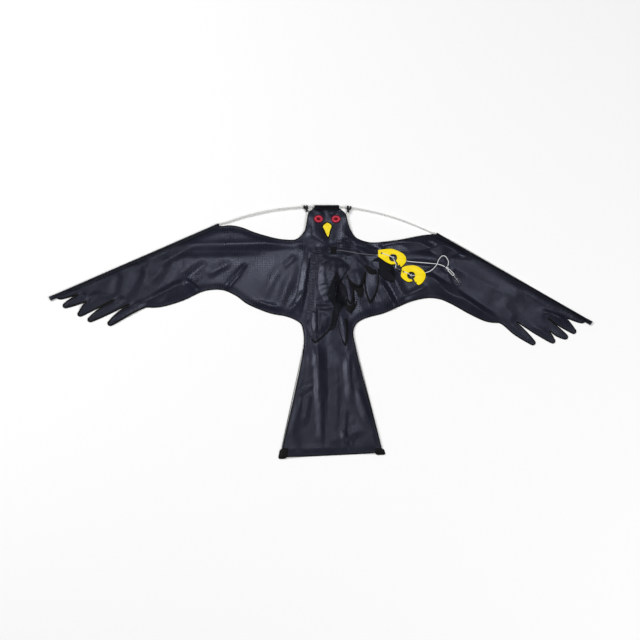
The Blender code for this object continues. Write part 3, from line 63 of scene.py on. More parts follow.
# Cloth
SAIL_PITCH = 0.0039
EDGE_PITCH = 0.0034
FEATHER_PITCH = 0.0034
CLOTH = 0.0005
GAP = 0.00035
LAYER = 0.0011
WELD = 0.00002
CORNER = 50
STRAIGHT = math.radians(2)
MM = 0.001
FLOOR_SPARE = 0.00008

# Cords and rods
CORD_DIAMETER = 0.0020
CORD_STEP = 0.0005
BOW_RADIUS = 0.0020
TAIL_ROD_RADIUS = 0.0015
SLEEVE_RADIUS = 0.0031
SLEEVE_HEM = 0.0062
UP = Vector((0, 0, 1))
SIDES = ("left", "right")


def at(u, v):
    """The place on the kite that a pixel of the photograph shows."""
    return Vector(((u - PICTURE_ORIGIN[0]) * PIXEL_ACROSS, (PICTURE_ORIGIN[1] - v) * PIXEL_DOWN))


def linked(name, data):
    """An object for a mesh, lamp or camera, in the scene."""
    made = bpy.data.objects.new(name, data)
    bpy.context.scene.collection.objects.link(made)
    return made


def aimed(name, data, place, way):
    """A lamp or camera at a place, looking one way."""
    made = linked(name, data)
    made.location = place
    made.rotation_mode = "QUATERNION"
    made.rotation_quaternion = way.to_track_quat("-Z", "Y")
    return made


def set_camera():
    data = bpy.data.cameras.new("camera")
    data.sensor_width = SENSOR
    data.lens = SENSOR * CAMERA_DISTANCE / (PICTURE_SIZE * PIXEL_ACROSS)
    data.clip_end = CAMERA_DISTANCE * 10
    centre = at(PICTURE_SIZE / 2, PICTURE_SIZE / 2).to_3d()
    back = Vector((0, -math.cos(VIEW_ELEVATION), math.sin(VIEW_ELEVATION)))
    bpy.context.scene.camera = aimed("camera", data, centre + back * CAMERA_DISTANCE, -back)


set_camera()


# Materials
class Look:
    """A material in the making: its node tree, its shader and short ways to add nodes."""

    SOCKETS = {"base": "Base Color", "roughness": "Roughness", "normal": "Normal",
               "metallic": "Metallic", "gloss": "Specular IOR Level", "tint": "Specular Tint",
               "coat": "Coat Weight", "sheen": "Sheen Weight"}

    def __init__(self, name):
        self.material = bpy.data.materials.new(name)
        self.material.use_nodes = True
        self.tree = self.material.node_tree

    def plug(self, value, socket):
        """Link an input, or set its number, its vector or the three parts of its colour."""
        if isinstance(value, bpy.types.NodeSocket):
            self.tree.links.new(value, socket)
        else:
            socket.default_value = (*value, 1.0) if socket.type == "RGBA" else value

    def put(self, kind, inputs=(), **settings):
        """A node with its settings, and its inputs linked or set."""
        node = self.tree.nodes.new("ShaderNode" + kind)
        for key, value in settings.items():
            setattr(node, key, value)
        for key, value in dict(inputs).items():
            self.plug(value, node.inputs[key])
        return node

    def finish(self, **values):
        """Fill the shader's sockets and give back the material."""
        shader = self.tree.nodes["Principled BSDF"]
        for key, value in values.items():
            self.plug(value, shader.inputs[self.SOCKETS[key]])
        return self.material

    def maths(self, operation, first, second=0.0):
        return self.put("Math", {0: first, 1: second}, operation=operation).outputs[0]

    def add(self, first, second):
        return self.maths("ADD", first, second)

    def times(self, first, second):
        return self.maths("MULTIPLY", first, second)

    def sine(self, value, pitch):
        """A wave from -1 to 1 that repeats at every pitch."""
        return self.maths("SINE", self.times(value, math.tau / pitch))

    def blend(self, share, low, high):
        """A colour from low to high by a share from 0 to 1."""
        node = self.put("Mix", data_type="RGBA")
        values = {"Factor": share, "A": low, "B": high}
        for socket in node.inputs:
            if socket.enabled and socket.name in values:
                self.plug(values[socket.name], socket)
        return next(socket for socket in node.outputs if socket.enabled)

    def spread(self, value, from_low, from_high, to_low=0.0, to_high=1.0):
        inputs = {"Value": value, "From Min": from_low, "From Max": from_high, "To Min": to_low,
                  "To Max": to_high}
        return self.put("MapRange", inputs).outputs["Result"]

    def place(self, turn=0.0, stretch=(1, 1, 1)):
        """Object coordinates, turned about Z and stretched."""
        inputs = {"Vector": self.put("TexCoord").outputs["Object"], "Rotation": (0, 0, turn),
                  "Scale": stretch}
        return self.put("Mapping", inputs).outputs["Vector"]

    def split(self, vector):
        """A vector's X and Y."""
        return self.put("SeparateXYZ", {"Vector": vector}).outputs[:2]

    def noise(self, vector, scale, detail=3.0, roughness=0.55):
        inputs = {"Vector": vector, "Scale": scale, "Detail": detail, "Roughness": roughness}
        return self.put("TexNoise", inputs).outputs["Fac"]

    def bump(self, height, distance, strength, normal=None):
        inputs = {"Height": height, "Distance": distance, "Strength": strength}
        if normal is not None:
            inputs["Normal"] = normal
        return self.put("Bump", inputs).outputs["Normal"]


def brighter(shade, factor):
    return [channel * factor for channel in shade]


RIPSTOP_PITCH = 0.0066
RIPSTOP_LINE = 0.00055
RIPSTOP_WEIGHTS = (1.0, 0.4)
THREAD_PITCH = 0.00042
PATCH_PITCH = 0.0009
RIB_PITCH = 0.0014
WEFT_PITCH = 0.0008
WEAVE_HEIGHT = 0.12
GRID_HEIGHT = 0.3
GRID_GLINT_SHARE = 0.5
GRID_GLINT_BRIGHTER = 1.9
GRID_DULLER = 1.4
COLD_TINT = (0.74, 0.78, 1.0)
# Where the sail's shine begins to fade and where it has faded, along X or Y; at the wing's tip, on
# the tail and over the right wing its colour is also darkened there, as painted shade
DULL_SHADED_TIP = (-0.34, -0.46)
WORN_FINGERS = (-0.48, -0.58)
DULL_SHADED_RIGHT = (0.16, 0.34)
DULL_SHADED_TAIL = (-0.04, -0.14)
GREY_END = 0.152
GREY_FADE = 0.006
CORD_SHADES = ((0.60, 0.61, 0.63), (0.90, 0.91, 0.93))
DARK_GREY_SHADES = ((0.030, 0.032, 0.040), (0.13, 0.135, 0.16))


def ripstop(name, dark, light, turn=0.0, roughness=0.24, gloss=0.38, dulled_and_shaded=0.0):
    """Thin nylon with a square grid of doubled threads, a fine weave and a faint sheen; the grid
    lines are coloured lighter as painted glints.
    """
    look = Look(name)
    place = look.place(turn)
    lines = []
    threads = []
    for value, weight in zip(look.split(place), RIPSTOP_WEIGHTS):
        distance = look.maths("PINGPONG", value, RIPSTOP_PITCH / 2)
        lines.append(look.times(look.spread(distance, RIPSTOP_LINE, RIPSTOP_LINE / 3), weight))
        threads.append(look.sine(value, THREAD_PITCH))
    grid = look.maths("MAXIMUM", *lines)
    weave = look.times(*threads)
    height = look.add(look.times(weave, WEAVE_HEIGHT), look.times(grid, GRID_HEIGHT))
    broad = look.noise(place, 14.0, 4.0)
    streak = look.noise(look.place(turn, (60, 6, 1)), 3.0)
    tone = look.add(look.times(broad, 0.65), look.times(streak, 0.35))
    base = look.blend(look.spread(tone, 0.32, 0.68), dark, light)
    # Painted highlight: the grid is the cloth's own pattern, and its lighter colour is painted
    # glint on the raised threads
    painted = look.blend(look.times(grid, GRID_GLINT_SHARE), base, brighter(light, GRID_GLINT_BRIGHTER))
    creases = look.noise(look.place(turn, (1, 0.5, 1)), 85.0, 3.0, 0.6)
    rough = look.spread(look.add(broad, look.times(grid, GRID_DULLER)), 0.2, 0.8,
                        roughness - 0.06, roughness + 0.14)
    if dulled_and_shaded:
        # Duller at the left wing's tip and fingers, on the tail and over the right wing; at the
        # tip, on the tail and over the right wing the colour is also darkened, as painted shade
        x, y = look.split(look.place())
        ends = look.maths("MAXIMUM", look.spread(x, *DULL_SHADED_TIP), look.spread(y, *DULL_SHADED_TAIL))
        dull_and_shade = look.maths("MAXIMUM", ends, look.times(look.spread(x, *DULL_SHADED_RIGHT), 0.5))
        fingers = look.times(look.spread(x, *WORN_FINGERS), 1.4)
        rough = look.add(rough, look.times(look.add(dull_and_shade, fingers), dulled_and_shaded))
        # Painted shade: the colour is drawn towards the dark shade where the mask is
        painted = look.blend(look.times(dull_and_shade, 0.5), painted, dark)
    normal = look.bump(height, 0.00012, 0.28, look.bump(creases, 0.0012, 0.18))
    return look.finish(base=painted, roughness=rough, normal=normal, gloss=gloss, tint=COLD_TINT)


def hem_look(name, shade, turn=0.0):
    """Matt doubled cloth with a twill of fine ribs and puckers at the stitches."""
    look = Look(name)
    place = look.place(turn)
    rib = look.sine(look.add(*look.split(place)), THREAD_PITCH * 1.6)
    base = look.blend(look.noise(place, 30.0), shade, brighter(shade, 2.1))
    pucker = look.bump(look.noise(place, 240.0, 2.0), 0.0006, 0.5)
    return look.finish(base=base, roughness=0.62, normal=look.bump(rib, 0.0001, 0.4, pucker),
                       gloss=0.14)


def webbing_look(name, shade):
    """Woven tape: raised ribs along it, crossed by fine weft, with painted light on the ribs' tops
    and painted shade between them.
    """
    look = Look(name)
    x, y = look.split(look.place())
    height = look.add(look.sine(x, RIB_PITCH), look.times(look.sine(y, WEFT_PITCH), 0.6))
    # Painted light and shade: the colour follows the ribs' height, lighter on their tops
    base = look.blend(look.spread(height, -1.4, 1.4), shade, brighter(shade, 2.6))
    return look.finish(base=base, roughness=0.7, normal=look.bump(height, 0.00035, 0.8),
                       gloss=0.15)


def patch_look(name, dark, light, roughness=0.55):
    """A coloured cloth patch with its own weave and a little wear."""
    look = Look(name)
    place = look.place()
    weave = look.times(*(look.sine(value, PATCH_PITCH) for value in look.split(place)))
    base = look.blend(look.spread(look.noise(place, 160.0, 4.0), 0.3, 0.7), dark, light)
    return look.finish(base=base, roughness=roughness, normal=look.bump(weave, 0.00012, 0.5),
                       gloss=0.14)


def plastic_look(name, dark, light, roughness):
    """Moulded plastic with flow marks, fine scratches and slightly mottled colour."""
    look = Look(name)
    flow = look.noise(look.place(0.4, (1, 5, 1)), 30.0, 4.0)
    scratch = look.noise(look.place(0.9, (1, 30, 1)), 180.0, 2.0, 0.7)
    height = look.add(look.noise(look.place(), 1400.0, 2.0), look.times(scratch, 0.6))
    return look.finish(base=look.blend(look.spread(flow, 0.35, 0.65), dark, light),
                       roughness=look.add(roughness - 0.08, look.times(scratch, 0.2)),
                       normal=look.bump(height, 0.00006, 0.35), gloss=0.22)


def fibre_look(name, dark, light):
    """Pultruded glass fibre: pale grey with fine dark streaks and a resin gloss."""
    look = Look(name)
    place = look.place()
    streaks = look.noise(place, 900.0, 3.0, 0.7)
    tone = look.add(look.times(streaks, 0.6), look.times(look.noise(place, 40.0, 2.0), 0.4))
    return look.finish(base=look.blend(look.spread(tone, 0.3, 0.7), dark, light),
                       roughness=look.spread(streaks, 0.2, 0.8, 0.28, 0.46),
                       normal=look.bump(streaks, 0.00005, 0.5), coat=0.25)


def braid_look(name, grey_end=None):
    """Braided polyester over the tube's relief, dark grey up to one place if given."""
    look = Look(name)
    place = look.place()
    fuzz = look.noise(place, 2600.0, 3.0, 0.7)
    tone = look.add(look.times(fuzz, 0.5), look.times(look.noise(place, 70.0), 0.5))
    tone = look.spread(tone, 0.32, 0.62)
    base = look.blend(tone, *CORD_SHADES)
    if grey_end:
        reached = look.spread(look.split(place)[0], grey_end, grey_end + GREY_FADE)
        base = look.blend(reached, look.blend(tone, *DARK_GREY_SHADES), base)
    return look.finish(base=base, roughness=0.72, normal=look.bump(fuzz, 0.00012, 0.6), sheen=0.35)


def metal_look(name, dark, light, roughness):
    """Nickelled wire with handling marks and a darker bloom."""
    look = Look(name)
    bloom = look.noise(look.place(), 420.0, 4.0)
    marks = look.noise(look.place(0.5, (1, 12, 1)), 900.0, 2.0, 0.7)
    return look.finish(base=look.blend(look.spread(bloom, 0.3, 0.7), dark, light), metallic=1.0,
                       roughness=look.spread(bloom, 0.3, 0.7, roughness, roughness + 0.2),
                       normal=look.bump(marks, 0.00003, 0.4))


SAIL_LOOK = ripstop("sail_ripstop", (0.0034, 0.0037, 0.0082), (0.0086, 0.0092, 0.0178), dulled_and_shaded=0.11)
SHINY_LOOK = ripstop("belly_ripstop", (0.0048, 0.0052, 0.0100), (0.0110, 0.0118, 0.0200),
                     0.06, 0.26, 0.28)
# Painted light: a lighter copy of the ripstop, for the bright feather and the tail feather
PAINTED_LIGHT_LOOK = ripstop("painted_light_feather_ripstop", (0.0080, 0.0086, 0.0150), (0.0170, 0.0180, 0.0300),
                      0.06, 0.24)
# Painted shade: a much darker copy of the ripstop, for the head tube, the shoulder feather and the
# dark sheet in the belly's fold
PAINTED_SHADE_LOOK = ripstop("painted_shade_ripstop", (0.0014, 0.0014, 0.0019), (0.0030, 0.0031, 0.0042),
                    0.2, 0.40, 0.14)
SLEEVE_LOOK = ripstop("sleeve_ripstop", (0.0022, 0.0024, 0.0042), (0.0046, 0.0048, 0.0080),
                      0.42, 0.34, 0.24)
# Matt black cloth: the real hems and corner pockets, and painted shade where it covers the deep
# and under-breast feathers and the dark sheets in the belly
HEM_AND_SHADE_LOOK = hem_look("hem_and_shade_cloth", (0.0018, 0.0018, 0.0024))
BINDING_LOOK = hem_look("edge_thread", (0.0014, 0.0014, 0.0018), 0.3)
WEBBING_LOOK = webbing_look("tab_webbing", (0.004, 0.004, 0.005))
RED_LOOK = patch_look("eye_red", (0.40, 0.018, 0.045), (0.62, 0.050, 0.085))
DARK_RED_LOOK = patch_look("pupil_red", (0.085, 0.0, 0.001), (0.17, 0.001, 0.004))
RIM_RED_LOOK = patch_look("eye_rim", (0.050, 0.003, 0.008), (0.11, 0.007, 0.016), 0.65)
YELLOW_LOOK = patch_look("beak_yellow", (0.84, 0.62, 0.003), (0.97, 0.82, 0.06))
WINDER_LOOK = plastic_look("winder_plastic", (0.88, 0.66, 0.002), (0.96, 0.75, 0.004), 0.34)
BLACK_LOOK = plastic_look("connector_plastic", (0.006, 0.006, 0.006), (0.013, 0.013, 0.014), 0.42)
FIBRE_LOOK = fibre_look("glass_fibre_rod", (0.50, 0.50, 0.48), (0.76, 0.76, 0.74))
LEG_LOOK = braid_look("leg_cord", GREY_END)
BRAID_LOOK = braid_look("braided_cord")
STEEL_LOOK = metal_look("dark_steel", (0.16, 0.16, 0.165), (0.40, 0.40, 0.41), 0.22)


# Lines and loops
def left_of(way):
    return Vector((-way.y, way.x))


def clamped(share):
    return max(0.0, min(1.0, share))


def turn_at(a, b, c):
    """How far a line turns at its middle point."""
    first = b - a
    second = c - b
    return math.atan2(first.cross(second), first.dot(second))


def path_length(points):
    return sum((b - a).length for a, b in zip(points, points[1:]))


def middle_of(points):
    return sum(points, Vector((0, 0))) / len(points)


def turned_loop(loop, first):
    """The same loop, started at another of its points."""
    return loop[first:] + loop[:first]


def curve_between(a, b, c, d, steps):
    """Points from b towards c on the centripetal curve through four points."""
    first, second, third = (max((q - p).length, WELD) ** 0.5 for p, q in ((a, b), (b, c), (c, d)))
    line = []
    for step in range(steps):
        t = second * step / steps
        ab = a.lerp(b, (t + first) / first)
        bc = b.lerp(c, t / second)
        cd = c.lerp(d, (t - second) / third)
        left = ab.lerp(bc, (t + first) / (first + second))
        right = bc.lerp(cd, t / (second + third))
        line.append(left.lerp(right, t / second))
    return line


def smooth_loop(points, pitch, corner=CORNER):
    """A loop through the given points, curved except where it turns by more than its corner."""
    count = len(points)
    sharp = [abs(turn_at(points[k - 1], points[k], points[(k + 1) % count])) > math.radians(corner)
             for k in range(count)]
    line = []
    for k in range(count):
        b = points[k]
        c = points[(k + 1) % count]
        a = b * 2 - c if sharp[k] else points[k - 1]
        d = c * 2 - b if sharp[(k + 1) % count] else points[(k + 2) % count]
        line += curve_between(a, b, c, d, max(1, round((c - b).length / pitch)))
    return line


def even_path(points, pitch):
    """Points an even pitch apart along a line, with its ends kept."""
    lengths = [0.0]
    for a, b in zip(points, points[1:]):
        lengths.append(lengths[-1] + (b - a).length)
    count = max(1, round(lengths[-1] / pitch))
    line = []
    k = 0
    for step in range(count + 1):
        goal = lengths[-1] * step / count
        while k < len(points) - 2 and lengths[k + 1] < goal:
            k += 1
        part = (goal - lengths[k]) / max(lengths[k + 1] - lengths[k], WELD * WELD)
        line.append(points[k].lerp(points[k + 1], min(part, 1.0)))
    return line


def even_loop(loop, pitch):
    return even_path(loop + loop[:1], pitch)[:-1]


def smooth_path(points, pitch):
    """Points a pitch apart along a curve through the given ones, with the ends kept."""
    padded = [points[0] * 2 - points[1], *points, points[-1] * 2 - points[-2]]
    dense = []
    for k in range(len(points) - 1):
        dense += curve_between(*padded[k:k + 4], 10)
    return even_path(dense + [points[-1].copy()], pitch)


def scaled_loop(loop, share):
    middle = middle_of(loop)
    return [middle + (point - middle) * share for point in loop]


def outline_at(spots):
    """A loop through photograph places, turned so that its inside is on its left."""
    points = [at(u, v) for u, v in spots]
    turn = sum(a.cross(b) for a, b in zip(points, points[1:] + points[:1]))
    return points if turn > 0 else points[::-1]


# Reading the frame
UPPER_SLOPE = 0.35


def node_vertices(name):
    return [vert.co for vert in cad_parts[name].data.vertices]


def box_middle(name):
    low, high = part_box(name)
    return (low + high) / 2


def top_loops(name):
    """The edges of a node's upper face, longest first, with the face on their left."""
    work = bmesh.new()
    work.from_mesh(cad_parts[name].data)
    bmesh.ops.remove_doubles(work, verts=work.verts, dist=WELD)
    sides = [face for face in work.faces if face.normal.z < UPPER_SLOPE]
    bmesh.ops.delete(work, geom=sides, context="FACES")
    step = {}
    for face in work.faces:
        for loop in face.loops:
            if len(loop.edge.link_faces) == 1:
                step[loop.vert.index] = loop.link_loop_next.vert.index
    work.verts.ensure_lookup_table()
    loops = []
    while step:
        first = next(iter(step))
        walk = [first]
        following = step.pop(first)
        while following != first and following in step:
            walk.append(following)
            following = step.pop(following)
        line = [work.verts[k].co.to_2d() for k in walk]
        loops.append([point for k, point in enumerate(line)
                      if abs(turn_at(line[k - 1], point, line[(k + 1) % len(line)])) > STRAIGHT])
    work.free()
    return sorted(loops, key=lambda loop: -path_length(loop))


def node_loop(name, pitch, corner=CORNER):
    """The smooth outline of a node's upper face."""
    return smooth_loop(top_loops(name)[0], pitch, corner)


def rod_centres(name, axis):
    """Middles of a rod's rings of points, in order along one axis."""
    points = sorted(node_vertices(name), key=lambda point: point[axis])
    groups = [[points[0]]]
    for point in points[1:]:
        if point[axis] - groups[-1][-1][axis] > BOW_RADIUS:
            groups.append([])
        groups[-1].append(point)
    return [sum(group, Vector()) / len(group) for group in groups]


# Filling outlines with triangles
EDGE_SPACE = 0.62


def inside_many(points, outline):
    """Which of many points lie inside a loop."""
    loop = np.array([(p.x, p.y) for p in outline])
    odd = np.zeros(len(points), bool)
    for (ax, ay), (bx, by) in zip(loop, np.roll(loop, -1, axis=0)):
        crosses = (ay > points[:, 1]) != (by > points[:, 1])
        if crosses.any():
            meet = ax + (bx - ax) * (points[:, 1] - ay) / (by - ay if by != ay else 1.0)
            odd ^= crosses & (points[:, 0] < meet)
    return odd


def far_from(points, others, reach):
    """Which of many points have no other point within reach, by cells of that size."""
    cells = {}
    for x, y in others:
        cells.setdefault((math.floor(x / reach), math.floor(y / reach)), []).append((x, y))
    kept = np.ones(len(points), bool)
    for n, (x, y) in enumerate(points):
        column = math.floor(x / reach)
        row = math.floor(y / reach)
        near = (spot for i in (-1, 0, 1) for j in (-1, 0, 1)
                for spot in cells.get((column + i, row + j), ()))
        kept[n] = all((x - px) ** 2 + (y - py) ** 2 > reach * reach for px, py in near)
    return kept


def doubled_areas(spots, triangles):
    """Twice each triangle's area, negative where it is wound clockwise."""
    ab = spots[triangles[:, 1]] - spots[triangles[:, 0]]
    ac = spots[triangles[:, 2]] - spots[triangles[:, 0]]
    return ab[:, 0] * ac[:, 1] - ab[:, 1] * ac[:, 0]


def fill(outline, pitch):
    """Points and triangles inside a loop, on a hexagonal grid."""
    loop = np.array([(p.x, p.y) for p in outline])
    low = loop.min(0)
    high = loop.max(0)
    rows = np.arange(low[1], high[1], pitch * math.sqrt(3) / 2)
    columns = np.arange(low[0], high[0] + pitch, pitch)
    grid = np.array([(x + (n % 2) * pitch / 2, y) for n, y in enumerate(rows) for x in columns])
    grid = grid[inside_many(grid, outline)]
    grid = grid[far_from(grid, loop, pitch * EDGE_SPACE)] if len(grid) else grid
    points = list(outline) + [Vector((x, y)) for x, y in grid]
    edges = [(k, (k + 1) % len(outline)) for k in range(len(outline))]
    corners, _, faces, _, _, _ = delaunay_2d_cdt(points, edges, [], 1, WELD)
    spots = np.array([(p.x, p.y) for p in corners])
    triangles = np.array([list(face) for face in faces])
    triangles = triangles[inside_many(spots[triangles].mean(axis=1), outline)]
    area = doubled_areas(spots, triangles)
    triangles[area < 0] = triangles[area < 0][:, ::-1]
    triangles = triangles[np.abs(area) > WELD * WELD]
    used, numbered = np.unique(triangles, return_inverse=True)
    return spots[used], numbered.reshape(-1, 3)


def relax(heights, triangles, rounds, share=0.5):
    """Heights eased towards the mean of their neighbours."""
    edges = np.concatenate([triangles[:, [0, 1]], triangles[:, [1, 2]], triangles[:, [2, 0]]])
    edges = np.concatenate([edges, edges[:, ::-1]])
    counts = np.bincount(edges[:, 0], minlength=len(heights))
    for _ in range(rounds):
        total = np.bincount(edges[:, 0], heights[edges[:, 1]], len(heights))
        heights = heights + share * (total / np.maximum(counts, 1) - heights)
    return heights


# What already lies on the floor, and what later pieces have to stay under: places with the
# height over them and the reach that it holds for
GROUND = []
CEILINGS = []
SWEPT = []
CEILING_SLOPE = 0.34
SWEPT_SLOPE = 0.20
HIGH = 1.0


def surface_tree(points, faces):
    return BVHTree.FromPolygons(points, [tuple(int(k) for k in face) for face in faces])


def dropped(tree, x, y):
    """Where a plumb line meets a surface, or None."""
    return tree.ray_cast(Vector((x, y, HIGH)), -UP)[0]


def height_on(tree, point, start=0.002):
    """Height of one surface at a place, or at the nearest place on it, looked for from a start."""
    hit = dropped(tree, point.x, point.y)
    if hit is None:
        hit = tree.find_nearest(Vector((point.x, point.y, start)))[0]
    return hit.z


def distances(spots, x, y):
    return np.hypot(spots[:, 0] - x, spots[:, 1] - y)


def ceiling_heights(spots, lower=0.0):
    """The most that cloth may rise: under the cords, and lower where moving parts swing."""
    most = np.full(len(spots), HIGH)
    for places, spare, slope in ((CEILINGS, 0.0, CEILING_SLOPE), (SWEPT, lower, SWEPT_SLOPE)):
        for x, y, level, reach in places:
            beyond = np.maximum(0.0, distances(spots, x, y) - reach)
            most = np.minimum(most, level - spare + beyond * slope)
    return most


def noise_heights(spots, pitch, stretch, turn, seed):
    """Soft unevenness, from -1 to 1, stretched along one way."""
    cosine = math.cos(turn)
    sine = math.sin(turn)
    values = []
    for x, y in spots:
        along = (x * cosine + y * sine) / (pitch * stretch)
        across = (y * cosine - x * sine) / pitch
        values.append(noise.noise(Vector((along + seed * 7.3, across - seed * 3.1, seed))))
    return np.array(values)


def segment_distance(spots, start, end):
    """Signed distance from a segment, and the share of the way along it."""
    way = np.array([end.x - start.x, end.y - start.y])
    length = np.hypot(*way)
    unit = way / length
    offset = spots - np.array([start.x, start.y])
    along = offset @ unit
    side = offset[:, 1] * unit[0] - offset[:, 0] * unit[1]
    share = np.clip(along / length, 0, 1)
    return np.sign(side) * np.hypot(side, along - share * length), share


WANDER = 0.0012


def crease_heights(spots, creases):
    """Sum of folds, each from one pixel to another, with its width in pixels to the left and
    right of that way and its height in millimetres."""
    total = np.zeros(len(spots))
    for start_u, start_v, end_u, end_v, left, right, height in creases:
        distance, share = segment_distance(spots, at(start_u, start_v), at(end_u, end_v))
        distance = distance + noise_heights(spots, 0.016, 1.0, 0.0, start_u * 0.1) * WANDER
        width = np.where(distance > 0, left, right) * PIXEL_ACROSS
        near = np.clip(1 - np.abs(distance) / width, 0, 1)
        profile = near ** 1.3 * (1.3 - 0.3 * near)
        ends = np.clip(np.sin(np.pi * np.clip(0.04 + 0.92 * share, 0, 1)) * 1.5, 0, 1)
        total += height * MM * profile * ends
    return total


# Making pieces
def add_piece(name, mesh, look, body="kite", node=None, smooth=50):
    """Link a mesh, give it its finish and body, and let it stand for its node."""
    made = linked(name, mesh)
    mesh.materials.clear()
    mesh.materials.append(look)
    mesh.shade_smooth()
    mesh.set_sharp_from_angle(angle=math.radians(smooth))
    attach(made, body)
    if node:
        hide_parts(node)
    return made


def new_mesh(name, verts, faces):
    mesh = bpy.data.meshes.new(name)
    mesh.from_pydata(verts, [], faces)
    mesh.update()
    return mesh


def lay(name, spots, triangles, tops, look, node):
    """Add a closed thin sheet under the given upper face, and let later cloth lie on it."""
    count = len(spots)
    verts = [(x, y, z) for (x, y), z in zip(spots, tops)]
    verts += [(x, y, max(z - CLOTH, z * 0.2)) for (x, y), z in zip(spots, tops)]
    upper = [tuple(int(k) for k in face) for face in triangles]
    edges = dict.fromkeys(pair for a, b, c in upper for pair in ((a, b), (b, c), (c, a)))
    faces = upper + [(c + count, b + count, a + count) for a, b, c in upper]
    faces += [(a, a + count, b + count, b) for a, b in edges if (b, a) not in edges]
    piece = add_piece(name, new_mesh(name, verts, faces), look, node=node)
    tree = surface_tree([Vector(vert) for vert in verts[:count]], upper)
    GROUND.append(tree)
    return piece, tree


def cloth(name, outline, pitch, look, shape, rounds, node=None, trees=None):
    """A sheet that lies on what is under it, lifted by its own shape."""
    spots, triangles = fill(outline, pitch)
    hits = [[dropped(tree, x, y) for tree in trees or GROUND] for x, y in spots]
    under = np.array([max([0.0] + [hit.z for hit in row if hit is not None]) for row in hits])
    least = under + GAP
    tops = np.maximum(relax(under, triangles, rounds) + shape(spots), least) + CLOTH
    tops = np.minimum(tops, np.maximum(ceiling_heights(spots), least + CLOTH))
    tops = np.maximum(relax(tops, triangles, 1, 0.3), least + CLOTH)
    return lay(name, spots, triangles, tops, look, node)


def ring_loft(name, rings, closed=False):
    """A mesh through rings of points that all have one count, capped or joined end to end."""
    count = len(rings[0])
    verts = [tuple(point) for ring in rings for point in ring]
    faces = []
    for r in range(len(rings) if closed else len(rings) - 1):
        low = r * count
        high = (r + 1) % len(rings) * count
        for k in range(count):
            ahead = (k + 1) % count
            faces.append((low + k, low + ahead, high + ahead, high + k))
    if not closed:
        faces.append(tuple(range(count - 1, -1, -1)))
        faces.append(tuple((len(rings) - 1) * count + k for k in range(count)))
    mesh = new_mesh(name, verts, faces)
    work = bmesh.new()
    work.from_mesh(mesh)
    bmesh.ops.recalc_face_normals(work, faces=work.faces)
    work.to_mesh(mesh)
    work.free()
    mesh.update()
    return mesh


def ways_along(points, closed):
    """The way that a line or loop runs at each of its points."""
    count = len(points)
    for k, point in enumerate(points):
        before = points[k - 1] if closed or k else point
        after = points[(k + 1) % count] if closed or k < count - 1 else point
        yield (after - before).normalized()


def sweep(name, path, radius_at, sides=12, closed=False):
    """A tube along a path, its radius given for a turn round it and a length along it."""
    rings = []
    travelled = 0.0
    side = None
    for k, (point, way) in enumerate(zip(path, ways_along(path, closed))):
        if side is None:
            side = way.orthogonal().normalized()
        side = (side - way * side.dot(way)).normalized()
        rise = way.cross(side)
        if k:
            travelled += (point - path[k - 1]).length
        angles = [math.tau * j / sides for j in range(sides)]
        rings.append([point + (side * math.cos(angle) + rise * math.sin(angle))
                      * radius_at(angle, travelled) for angle in angles])
    return ring_loft(name, rings, closed)


# Sections of the sewn edges: for bindings and rims the share of the width and of the rise, where
# None is the edge's outer side; for stitches the share of the length, of the radius and its lift
BINDING_OVER = 0.0004
BINDING_FLOOR = 0.00005
BINDING_SECTION = ((None, -1.0), (None, 0.35), (0.18, 1.0), (0.62, 0.85), (1.0, 0.12),
                   (1.0, -0.25), (0.5, -0.5))
SATIN_RISES = (0.0008, 0.00105)
STITCH_SECTION = ((0.0, 0.35, -0.6), (0.14, 0.9, 0.3), (0.5, 1.0, 0.7), (0.86, 0.9, 0.3),
                  (1.0, 0.35, -0.6))
SATIN_SECTION = ((-0.5, -0.1), (-0.32, 0.7), (0.0, 1.0), (0.32, 0.7), (0.5, -0.2), (0.0, -0.35))


def binding(name, outline, width_at, tree, thickness=0.0006, closed=True):
    """A narrow band sewn over a sheet's edge: an arched section carried along the outline."""
    rings = []
    for point, way in zip(outline, ways_along(outline, closed)):
        width = width_at(point)
        inward = left_of(way)
        ring = []
        for share, rise in BINDING_SECTION:
            share = -BINDING_OVER / width if share is None else share
            place = point + inward * width * share
            level = height_on(tree, point + inward * width * max(share, 0.08)) + thickness * rise
            level -= 0 if rise > 0 else CLOTH * 0.3
            ring.append(Vector((place.x, place.y, max(level, BINDING_FLOOR))))
        rings.append(ring)
    add_piece(name, ring_loft(name, rings, closed), BINDING_LOOK, smooth=60)


def stitch_row(name, line, tree, length=0.0024, gap=0.0010, radius=0.00024):
    """A row of sewn stitches: small rounded threads that dive in at both ends."""
    path = even_path(line, length + gap)
    work = bmesh.new()
    for start, end in zip(path, path[1:]):
        way = (end - start).normalized()
        across = left_of(way).to_3d()
        rings = []
        for share, size, lift in STITCH_SECTION:
            place = start + way * length * share
            centre = Vector((place.x, place.y, height_on(tree, place) + radius * lift))
            rings.append([centre + (across * math.cos(a) + UP * math.sin(a)) * radius * size
                          for a in (math.tau * j / 6 for j in range(6))])
        stitch = ring_loft("stitch", rings)
        work.from_mesh(stitch)
        bpy.data.meshes.remove(stitch)
    joined = bpy.data.meshes.new(name)
    work.to_mesh(joined)
    work.free()
    add_piece(name, joined, BINDING_LOOK)


def satin_rim(name, loop, pitch, width, tree, look):
    """A raised rim of close satin stitches round a patch."""
    loop = even_loop(loop, pitch)
    rings = []
    for k, (point, way) in enumerate(zip(loop, ways_along(loop, True))):
        rise = SATIN_RISES[k % 2]
        level = height_on(tree, point, 0.003)
        rings.append([(point - left_of(way) * width * share).to_3d() + UP * (level + rise * lift)
                      for share, lift in SATIN_SECTION])
    add_piece(name, ring_loft(name, rings, True), look, smooth=30)


